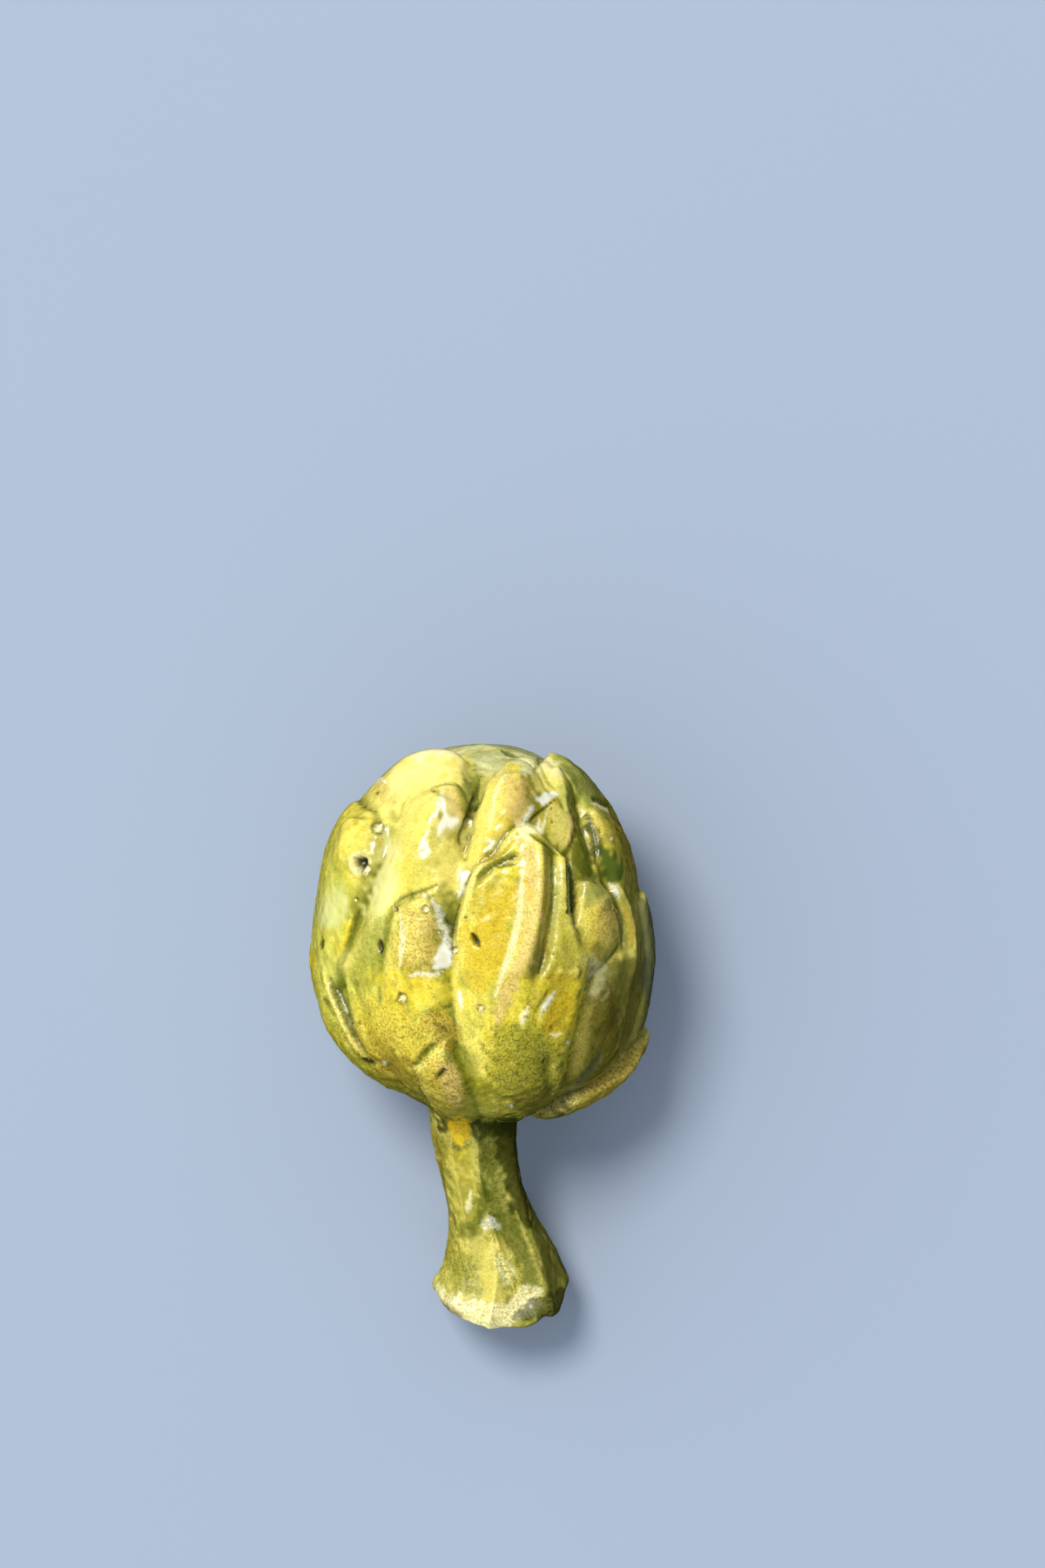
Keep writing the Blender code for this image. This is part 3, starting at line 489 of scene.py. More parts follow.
def add_bract(profile, plan, height, owner, number, azimuth, reach, bract):
    """Lays one bract over what is there already, and notes by its number where it shows."""
    _, seen, hidden, (tip_height, foot_height, bulge) = bract
    meridian, outline = local_route(profile, plan, seen, hidden)
    outline = smooth_loop(outline, OUTLINE_STEPS)
    x, y = local_place(profile, azimuth, reach, meridian)
    near = in_box(x, y, outline, 0.0)
    near &= (np.cos(np.radians(azimuth - meridian)) > 0.0) | (reach < POLE_SPAN[1])
    x, y = x[near], y[near]
    inside = np.maximum(edge_distance(x, y, outline), 0.0)
    tip, foot = outline[:, 1].min(), outline[:, 1].max()
    down = np.clip((y - tip) / (foot - tip), 0.0, 1.0)
    edge = 1.0 - np.clip(inside / EDGE_WIDTH, 0.0, 1.0)
    middle = 1.0 - np.clip(inside / BULGE_WIDTH, 0.0, 1.0)
    level = foot_height + (tip_height - foot_height) * (1.0 - down) ** LEVEL_FALL
    level += bulge * (1.0 - middle**2) - EDGE_DROOP * (1.0 - down) ** 2 * edge**2
    rise = (1.0 - edge**3) * np.maximum(level - height[near], 0.0)
    owner[near] = np.where(rise > OWNED_RISE, number, owner[near])
    height[near] += rise


def add_fold(profile, plan, height, azimuth, reach, fold):
    """Raises or presses in one rounded line that fades at its ends."""
    _, route, lift, half_width = fold
    meridian, line = local_route(profile, plan, route)
    line = smooth_line(line, LINE_STEPS)
    x, y = local_place(profile, azimuth, reach, meridian)
    near = in_box(x, y, line, FOLD_REACH * half_width) & (np.cos(np.radians(azimuth - meridian)) > 0.0)
    away, along = line_distance(x[near], y[near], line)
    height[near] += lift * full_between(FOLD_FULL, along) * np.exp(-((away / half_width) ** 2))


def add_hollow(profile, plan, height, azimuth, reach, hollow):
    _, spot, depth, half_across, half_along, turn = hollow
    middle_azimuth, middle_reach = plan.place(*spot)
    x, y = local_place(profile, azimuth, reach, middle_azimuth)
    y = y - middle_reach
    turn = math.radians(turn)
    across = (x * math.cos(turn) + y * math.sin(turn)) / half_across
    along = (y * math.cos(turn) - x * math.sin(turn)) / half_along
    facing = np.cos(np.radians(azimuth - middle_azimuth)) > 0.0
    height -= np.where(facing, depth * np.exp(-((across**2 + along**2) ** HOLLOW_POWER)), 0.0)


def add_facets(profile, height, azimuth, reach):
    """Blunt lengthwise facets on the stem, as if whittled, stronger towards the stem end."""
    along = profile.along(reach)
    turn = np.radians(azimuth) + FACET_TWIST * (along - HEAD_END)
    uneven = turn + FACET_UNEVEN[0] * np.sin(turn + 1.0) + FACET_UNEVEN[1] * np.sin(3 * turn)
    wave = np.abs(np.cos(FACET_COUNT * uneven / 2)) - FACET_MEAN
    on_stem = smoothstep(profile.head_length, profile.head_length + FACET_START, reach)
    before_end = smoothstep(profile.rim + FACET_STOP, profile.rim, reach)
    growth = 1.0 + FACET_GROWTH * smoothstep(*FACET_GROWTH_SPAN, along)
    height -= FACET_HEIGHT * wave * on_stem * before_end * growth


def wave_sum(points, seed, waves, scale, lengths):
    """Sum of waves in random directions, for points in millimetres."""
    disorder = np.random.default_rng(seed)
    total = np.zeros(points.shape[:-1])
    for _ in range(waves):
        heading = disorder.normal(size=3)
        heading /= np.linalg.norm(heading)
        length = scale * disorder.uniform(*lengths)
        total += np.sin(points @ heading * 2 * math.pi / length + disorder.uniform(0.0, 2 * math.pi))
    return total


def hand_waves(points):
    """Slow irregular waves over the whole body, for points in millimetres."""
    total = wave_sum(points, WAVE_SEED, WAVE_COUNT, 1.0, WAVE_LENGTHS)
    return total * WAVE_HEIGHT / math.sqrt(WAVE_COUNT / 2)


def all_bracts():
    return back_bracts() + [RESTING_BRACT] + BRACTS


def relief(profile, azimuth, reach):
    """Height over the bare body, in millimetres, and the number of the bract that shows, at each place."""
    plan = Plan(profile)
    height = BARE_HEIGHT * smoothstep(profile.head_length, profile.head_length - BARE_FADE, reach)
    owner = np.full(reach.shape, -1)
    for number, bract in enumerate(all_bracts()):
        add_bract(profile, plan, height, owner, number, azimuth, reach, bract)
    for fold in FOLDS:
        add_fold(profile, plan, height, azimuth, reach, fold)
    for hollow in HOLLOWS:
        add_hollow(profile, plan, height, azimuth, reach, hollow)
    add_facets(profile, height, azimuth, reach)
    return height, owner


def settled(profile, reach, points):
    """Moves the body onto the floor at height 0, with its footprint centred."""
    on_head = reach < profile.head_length
    head_low = points[..., 2][on_head].min()
    low, high = points.reshape(-1, 3).min(0), points.reshape(-1, 3).max(0)
    return points - np.array([(low[0] + high[0]) / 2, (low[1] + high[1]) / 2, head_low + HEAD_SINK])


# The photograph's size in pixels, the camera's place and the height at which PIXEL_SIZE holds in metres, the
# sensor's width in millimetres, and how far the camera sees in metres.
IMAGE_SIZE = (1200, 1800)
CAMERA_PLACE = (0.0101, 0.0642, 3.0)
SCALE_HEIGHT = 0.045
SENSOR = 36.0
CAMERA_CLIP = 20.0

# Columns of the grid on which the surface is worked out, the step of its rows, and the steps of the finished
# mesh on the side that the camera sees and on the other one, in millimetres. The one gives way to the other
# between FRONT_AZIMUTHS.
GRID_COLUMNS = 1200
ROW_STEP = 0.49
FRONT_STEP = 0.49
BACK_STEP = 1.25
FRONT_AZIMUTHS = (104.0, 124.0)

# The finished mesh's rings: azimuths at which the spacing is worked out, the degrees between them, what is
# added to the bare radius for it, and the fewest vertices of a ring.
RING_AZIMUTHS = 721
RING_TURN = 0.5
RING_HEIGHT = 3.0
LEAST_RING = 12

# Reach over which the marks and waves fade in from the crown's pole, and the least radius for averaging.
POLE_FADE = 6.0
LEAST_RADIUS = 2.0


def glaze_tone(red, green, blue):
    """A colour written as it looks on screen, 0 to 255, in the renderer's linear values."""
    share = np.array([red, green, blue], float) / 255.0
    return np.where(share <= 0.04045, share / 12.92, ((share + 0.055) / 1.055) ** 2.4)


LEMON = glaze_tone(232, 218, 112)
YELLOW = glaze_tone(222, 200, 44)
GOLD = glaze_tone(206, 180, 40)
OCHRE = glaze_tone(174, 148, 40)
TAN = glaze_tone(202, 178, 88)
SAND = glaze_tone(212, 192, 66)
STRAW = glaze_tone(212, 196, 48)
PINK = glaze_tone(208, 178, 108)
CREAM = glaze_tone(246, 238, 188)
WHITE = glaze_tone(236, 238, 222)
MIST = glaze_tone(216, 216, 158)
PALE_GREEN = glaze_tone(184, 188, 92)
GREY_GREEN = glaze_tone(150, 152, 72)
OLIVE = glaze_tone(126, 128, 26)
MOSS = glaze_tone(78, 88, 14)
GREEN = glaze_tone(54, 82, 26)
BROWN = glaze_tone(98, 78, 16)
DARK = glaze_tone(40, 38, 8)
SHADE = glaze_tone(100, 96, 36)
UMBER = glaze_tone(86, 76, 10)
AMBER = glaze_tone(200, 166, 10)
# The next two tones are for painted shade.
SLATE_SHADE = glaze_tone(88, 94, 70)
DEEP_SHADE = glaze_tone(46, 52, 4)
STEM_TONE = glaze_tone(150, 144, 56)

# The glaze of the bare stem and of the bracts on the side that lies down.
STEM_GRAIN = 0.7
BACK_TONES = (STRAW, SAND, PALE_GREEN, STRAW)
BACK_GRAIN = 0.4

# Each bract's glaze: its colour towards the tip and towards the foot, and how grainy it is.
BRACT_TONES = {
    "crown_cap": (MIST, PALE_GREEN, 0.3),
    "crown_left": (LEMON, LEMON, 0.15),
    "crown_far_right": (PALE_GREEN, OLIVE, 0.4),
    "crown_right": (LEMON, PALE_GREEN, 0.3),
    "inner_left": (TAN, OCHRE, 0.6),
    "inner_right": (OLIVE, GREY_GREEN, 0.5),
    "shoulder_right": (SAND, OLIVE, 0.5),
    "front_left": (SAND, STRAW, 0.4),
    "front_upper": (SAND, STRAW, 0.4),
    "side_left": (PALE_GREEN, STRAW, 0.5),
    "shoulder_left": (STRAW, PALE_GREEN, 0.35),
    "far_right": (PALE_GREEN, GREY_GREEN, 0.3),
    "side_right": (GREY_GREEN, OLIVE, 0.4),
    "low_right": (SAND, GREY_GREEN, 0.6),
    "mid_left": (SAND, STRAW, 0.7),
    "front_large": (STRAW, STRAW, 0.5),
    "base_left": (STRAW, OLIVE, 0.7),
    "base_right": (OCHRE, OLIVE, 0.9),
    "base_front": (SAND, OCHRE, 1.0),
}

# Kinds of pits: colour of the bottom and how strongly it covers, then the same for the ring round it.
PIT_KINDS = {
    "blister": (CREAM, 0.7, DARK, 0.75),
    "hole": (DARK, 0.9, OCHRE, 0.3),
    "crater": (DARK, 0.95, CREAM, 0.6),
    "nick": (WHITE, 0.9, OCHRE, 0.2),
    "dimple": (OCHRE, 0.35, OCHRE, 0.1),
}
BACK_BLISTER = (CREAM, 0.8, DARK, 0.6)
BACK_HOLE = (DARK, 0.8, OCHRE, 0.6)

# A pit's shape over its radius: lip, ring and bottom.
LIP_PLACE = 1.2
LIP_WIDTH = 0.35
RING_PLACE = 0.95
RING_WIDTH = 0.25
WALL_SPAN = (1.0, 0.4)
BOTTOM_SPAN = (0.85, 0.5)
PIT_MARGIN = 3.0

# Holes and burst blisters: kind, place in pixels, radius in pixels, depth and lip height in millimetres.
PITS = [
    ("shoulder_blister", "blister", (434, 951), 6.5, 0.5, 0.3),
    ("shoulder_crater", "crater", (414, 991), 10.5, 2.0, 0.4),
    ("shoulder_crater_side", "blister", (421, 998), 5.5, 0.5, 0.3),
    ("shoulder_faint", "dimple", (415, 938), 3.5, 0.3, 0.1),
    ("shoulder_low", "hole", (410, 1032), 3.0, 0.8, 0.2),
    ("inner_left_pit", "hole", (433, 910), 2.5, 0.5, 0.2),
    ("inner_left_faint", "dimple", (453, 920), 2.5, 0.3, 0.0),
    ("front_left_pit", "hole", (498, 908), 3.0, 0.7, 0.3),
    ("front_upper_pit", "dimple", (595, 905), 3.5, 0.5, 0.1),
    ("front_upper_speck_a", "hole", (634, 943), 1.8, 0.4, 0.1),
    ("front_upper_speck_b", "hole", (633, 928), 1.5, 0.3, 0.0),
    ("mid_blister", "blister", (489, 1044), 5.0, 0.6, 0.3),
    ("mid_pit_left", "hole", (455, 1044), 3.0, 0.7, 0.3),
    ("mid_bump", "nick", (488, 1028), 3.4, 0.0, 0.4),
    ("mid_pit_up", "hole", (498, 1029), 2.2, 0.4, 0.1),
    ("mid_crater", "blister", (462, 1146), 6.0, 0.9, 0.3),
    ("mid_crater_core", "hole", (459, 1141), 2.5, 0.6, 0.0),
    ("mid_speck_a", "dimple", (424, 1166), 2.5, 0.5, 0.1),
    ("mid_speck_b", "hole", (412, 1175), 2.2, 0.5, 0.1),
    ("mid_speck_c", "dimple", (417, 1152), 2.0, 0.4, 0.1),
    ("large_speck", "hole", (535, 1053), 2.2, 0.5, 0.2),
    ("large_blister", "blister", (523, 1091), 4.0, 0.5, 0.25),
    ("large_low_blister", "blister", (552, 1157), 4.0, 0.5, 0.3),
    ("groove_pit", "hole", (637, 1027), 1.8, 0.4, 0.0),
    ("gap_pit", "hole", (653, 1047), 3.0, 0.8, 0.1),
    ("right_speck_a", "hole", (635, 1095), 2.0, 0.4, 0.1),
    ("right_speck_b", "dimple", (666, 1110), 3.0, 0.4, 0.1),
    ("low_right_notch", "hole", (707, 1045), 2.5, 0.6, 0.2),
    ("low_right_pit", "dimple", (667, 1018), 2.0, 0.3, 0.0),
    ("hollow_pit", "dimple", (635, 1180), 4.0, 0.6, 0.1),
    ("base_nick", "nick", (441, 1220), 3.0, 0.3, 0.1),
    ("edge_nick_white", "nick", (652, 1197), 2.6, 0.3, 0.0),
    ("edge_nick_dark", "hole", (624, 1218), 2.4, 0.5, 0.2),
    ("edge_nick_low", "nick", (586, 1269), 3.0, 0.2, 0.2),
    ("shoulder_right_pit", "hole", (709, 952), 2.5, 0.5, 0.3),
    ("shoulder_right_spot", "nick", (702, 963), 2.0, 0.0, 0.2),
    ("stem_dimple", "dimple", (610, 1483), 4.0, 0.5, 0.1),
    ("stem_chip", "nick", (560, 1401), 2.6, 0.3, 0.2),
    ("stem_crack_pit", "hole", (522, 1405), 2.5, 0.6, 0.2),
]

# Lines drawn on the surface: route and half width in pixels, lift in millimetres (pressed in where negative),
# colour and how strongly it covers. Some are painted highlights, and some painted shade over pooled glaze, as
# noted above them.
LINES = [
    ("mid_slit", [(436, 1079), (437, 1086), (438, 1094)], 3.0, -1.0, DARK, 0.95),
    ("large_slot", [(542, 1072), (546, 1079), (550, 1086)], 3.6, -1.3, DARK, 0.95),
    ("base_slot", [(416, 1216), (423, 1219), (430, 1221)], 3.0, -1.0, DARK, 0.95),
    ("base_front_slot", [(501, 1238), (506, 1233), (512, 1228)], 3.2, -1.1, DARK, 0.95),
    ("side_slit", [(370, 1077), (369, 1083), (369, 1089)], 2.2, -0.7, DARK, 0.85),
    ("crater_star", [(407, 984), (414, 991), (422, 985)], 2.2, -0.5, DARK, 0.9),
    ("crater_star_low", [(415, 983), (416, 992), (411, 1001)], 2.2, -0.5, DARK, 0.9),
    # Painted shade in the left crevice, and painted highlights on its ridge and on the streak beside it.
    ("left_crevice", [(412, 1045), (407, 1065), (399, 1090), (393, 1107)], 2.0, -0.8, MOSS, 0.5),
    ("left_crevice_ridge", [(404, 1050), (397, 1075), (388, 1100)], 2.6, 0.3, YELLOW, 0.8),
    ("mid_streak", [(459, 1050), (463, 1070), (461, 1092), (459, 1110)], 3.0, 0.3, CREAM, 0.7),
    # Painted shade along the crease under the upper left bract's edge.
    ("mid_tip_line", [(450, 1041), (462, 1031), (478, 1025), (492, 1020), (503, 1015)], 1.6, -0.6, MOSS,
     0.8),
    # Painted highlights round the middle left bract's face.
    ("mid_frame", [(496, 1034), (503, 1046), (507, 1060), (512, 1072), (514, 1086), (517, 1104)], 4.6, 0.35,
     WHITE, 0.7),
    ("mid_frame_low", [(510, 1114), (496, 1119), (484, 1117), (470, 1121)], 2.2, 0.2, WHITE, 0.6),
    ("mid_bar", [(527, 1136), (529, 1148), (530, 1160)], 2.0, 0.2, WHITE, 0.8),
    ("left_face_bar", [(528, 998), (531, 1012), (527, 1030)], 3.0, 0.2, WHITE, 0.6),
    # Painted shade along the front left bract's edge, and painted highlights on the upper bracts' edges.
    ("front_left_contour", [(500, 903), (514, 899), (528, 903), (535, 914), (535, 930), (531, 945)], 1.4,
     -0.4, OLIVE, 0.75),
    ("upper_left_light", [(584, 884), (572, 905), (566, 930), (562, 952)], 2.4, 0.15, CREAM, 0.5),
    ("inner_left_rim", [(429, 900), (436, 893), (443, 898)], 1.8, 0.2, WHITE, 0.7),
    # Painted shade in the gap between the front bracts.
    ("gap_front", [(550, 896), (547, 910), (542, 926), (537, 942), (531, 957), (527, 968)], 2.4, -1.3, DARK,
     0.6),
    ("upper_crack", [(637, 918), (625, 928), (613, 938), (608, 944)], 1.6, -0.8, DARK, 0.85),
    # Painted highlights on the upper bract.
    ("upper_glint_middle", [(612, 924), (606, 934), (601, 944)], 3.0, 0.2, WHITE, 0.6),
    ("upper_bar_a", [(619, 938), (619, 956)], 1.8, 0.2, CREAM, 0.8),
    ("upper_bar_b", [(629, 930), (625, 944), (621, 956)], 1.6, 0.2, CREAM, 0.7),
    ("upper_edge_dark", [(655, 930), (661, 945), (660, 958), (655, 972)], 2.2, -0.5, BROWN, 0.8),
    ("upper_edge_light", [(652, 934), (656, 947), (653, 962), (650, 974)], 1.8, 0.3, PINK, 0.7),
    # Painted shade over pooled glaze in the creases round the large bract's tip.
    ("tip_crease_right", [(609, 957), (619, 963), (630, 971), (640, 981)], 2.2, -0.8, MOSS, 0.85),
    ("tip_crease_left", [(598, 956), (587, 964), (577, 977), (562, 985), (550, 990)], 2.4, -0.8, OCHRE,
     0.8),
    ("tip_rim", [(590, 962), (600, 959), (610, 964)], 3.0, 0.3, CREAM, 0.7),
    # Painted shade over pooled glaze in the crease below it.
    ("second_crease", [(594, 991), (580, 993), (572, 996)], 1.8, -0.5, DARK, 0.7),
    ("second_crease_low", [(566, 998), (555, 1006), (546, 1018)], 2.6, -0.5, OLIVE, 0.6),
    # A painted highlight along the large bract's ridge.
    ("ridge_light", [(600, 1005), (597, 1040), (590, 1078), (580, 1110), (568, 1144)], 3.6, 0.0, CREAM,
     0.6),
    ("groove_shade", [(629, 983), (629, 1020), (627, 1060), (625, 1105)], 4.2, -0.5, OCHRE, 0.5),
    ("groove_edge", [(636, 985), (637, 1010), (636, 1040)], 2.0, 0.2, PALE_GREEN, 0.7),
    # Painted shade in the gap right of the large bract.
    ("gap_right", [(652, 985), (655, 1010), (656, 1035), (654, 1050)], 3.4, -1.0, MOSS, 0.85),
    ("ledge_shade", [(630, 1122), (640, 1123), (650, 1120)], 5.0, -0.4, OCHRE, 0.6),
    # A painted highlight, with painted shade beside it.
    ("white_streak", [(637, 1138), (629, 1150), (620, 1165)], 2.4, 0.25, WHITE, 0.85),
    ("white_streak_shade", [(631, 1136), (623, 1150), (614, 1163)], 2.2, -0.5, OLIVE, 0.8),
    ("low_glint", [(606, 1156), (601, 1166), (599, 1176)], 3.2, 0.2, CREAM, 0.8),
    ("hollow_arc", [(631, 1186), (638, 1189), (645, 1186)], 1.8, 0.3, CREAM, 0.8),
    ("front_edge", [(676, 1096), (671, 1118), (669, 1138), (661, 1160), (657, 1184), (650, 1204),
     (648, 1226), (640, 1246)], 3.4, 0.3, STRAW, 0.4),
    # Painted shade along the deep inner bract's edge.
    ("inner_right_line", [(672, 935), (678, 948), (682, 962), (684, 978), (684, 992)], 2.2, -0.7, MOSS,
     0.85),
    ("cap_mark", [(576, 861), (585, 865), (596, 869)], 2.2, -0.6, MOSS, 0.8),
    # Painted shade over pooled glaze in the creases on the right.
    ("crown_right_line", [(618, 872), (622, 884), (629, 897), (640, 907)], 1.6, -0.5, MOSS, 0.5),
    ("right_notch", [(680, 916), (690, 920), (703, 926)], 3.6, -1.0, MOSS, 0.7),
    ("right_crease", [(689, 1010), (699, 1021), (708, 1038), (713, 1060), (714, 1090)], 2.0, -0.7, DARK,
     0.7),
    ("base_right_shade", [(650, 1257), (667, 1241), (682, 1223), (692, 1208)], 4.0, -0.4, SLATE_SHADE, 0.6),
    # Painted highlights on the right shoulder and side.
    ("shoulder_right_top", [(681, 922), (690, 924), (697, 931)], 3.0, 0.2, CREAM, 0.8),
    ("side_right_glint", [(700, 1014), (706, 1021), (711, 1030)], 2.8, 0.3, WHITE, 0.85),
    ("side_right_rim", [(714, 1034), (720, 1048), (724, 1064), (725, 1090)], 4.0, 0.2, OCHRE, 0.7),
    ("base_left_ridge", [(372, 1118), (378, 1140), (388, 1165), (398, 1186), (410, 1203), (421, 1217)], 3.0,
     0.2, LEMON, 0.5),
    ("base_left_shade", [(380, 1122), (387, 1145), (397, 1168), (408, 1190), (420, 1207)], 2.6, -0.4, MOSS,
     0.6),
    # Painted shade over pooled glaze in the base's crease and valley.
    ("base_front_crease", [(473, 1225), (482, 1215), (492, 1204), (500, 1198)], 3.0, -0.8, MOSS, 0.75),
    ("base_front_valley", [(521, 1196), (530, 1212), (538, 1232), (545, 1258)], 6.0, -0.6, OLIVE, 0.5),
    ("mid_low_mark", [(497, 1174), (508, 1180), (517, 1188)], 2.4, -0.3, BROWN, 0.6),
    ("stem_crack", [(518, 1392), (521, 1400), (523, 1412)], 1.4, -0.4, BROWN, 0.7),
    # A painted highlight on the stem's left ridge.
    ("stem_ridge_left", [(541, 1368), (539, 1380), (537, 1392)], 3.0, 0.2, CREAM, 0.6),
    ("stem_ridge_middle", [(566, 1410), (574, 1436), (584, 1462), (592, 1488)], 2.2, 0.35, LEMON, 0.5),
    ("stem_ridge_right", [(592, 1390), (606, 1424), (616, 1450), (624, 1474)], 3.0, 0.4, LEMON, 0.3),
    ("stem_edge_left", [(501, 1306), (504, 1330), (510, 1365), (517, 1396)], 2.4, -0.1, BROWN, 0.5),
]
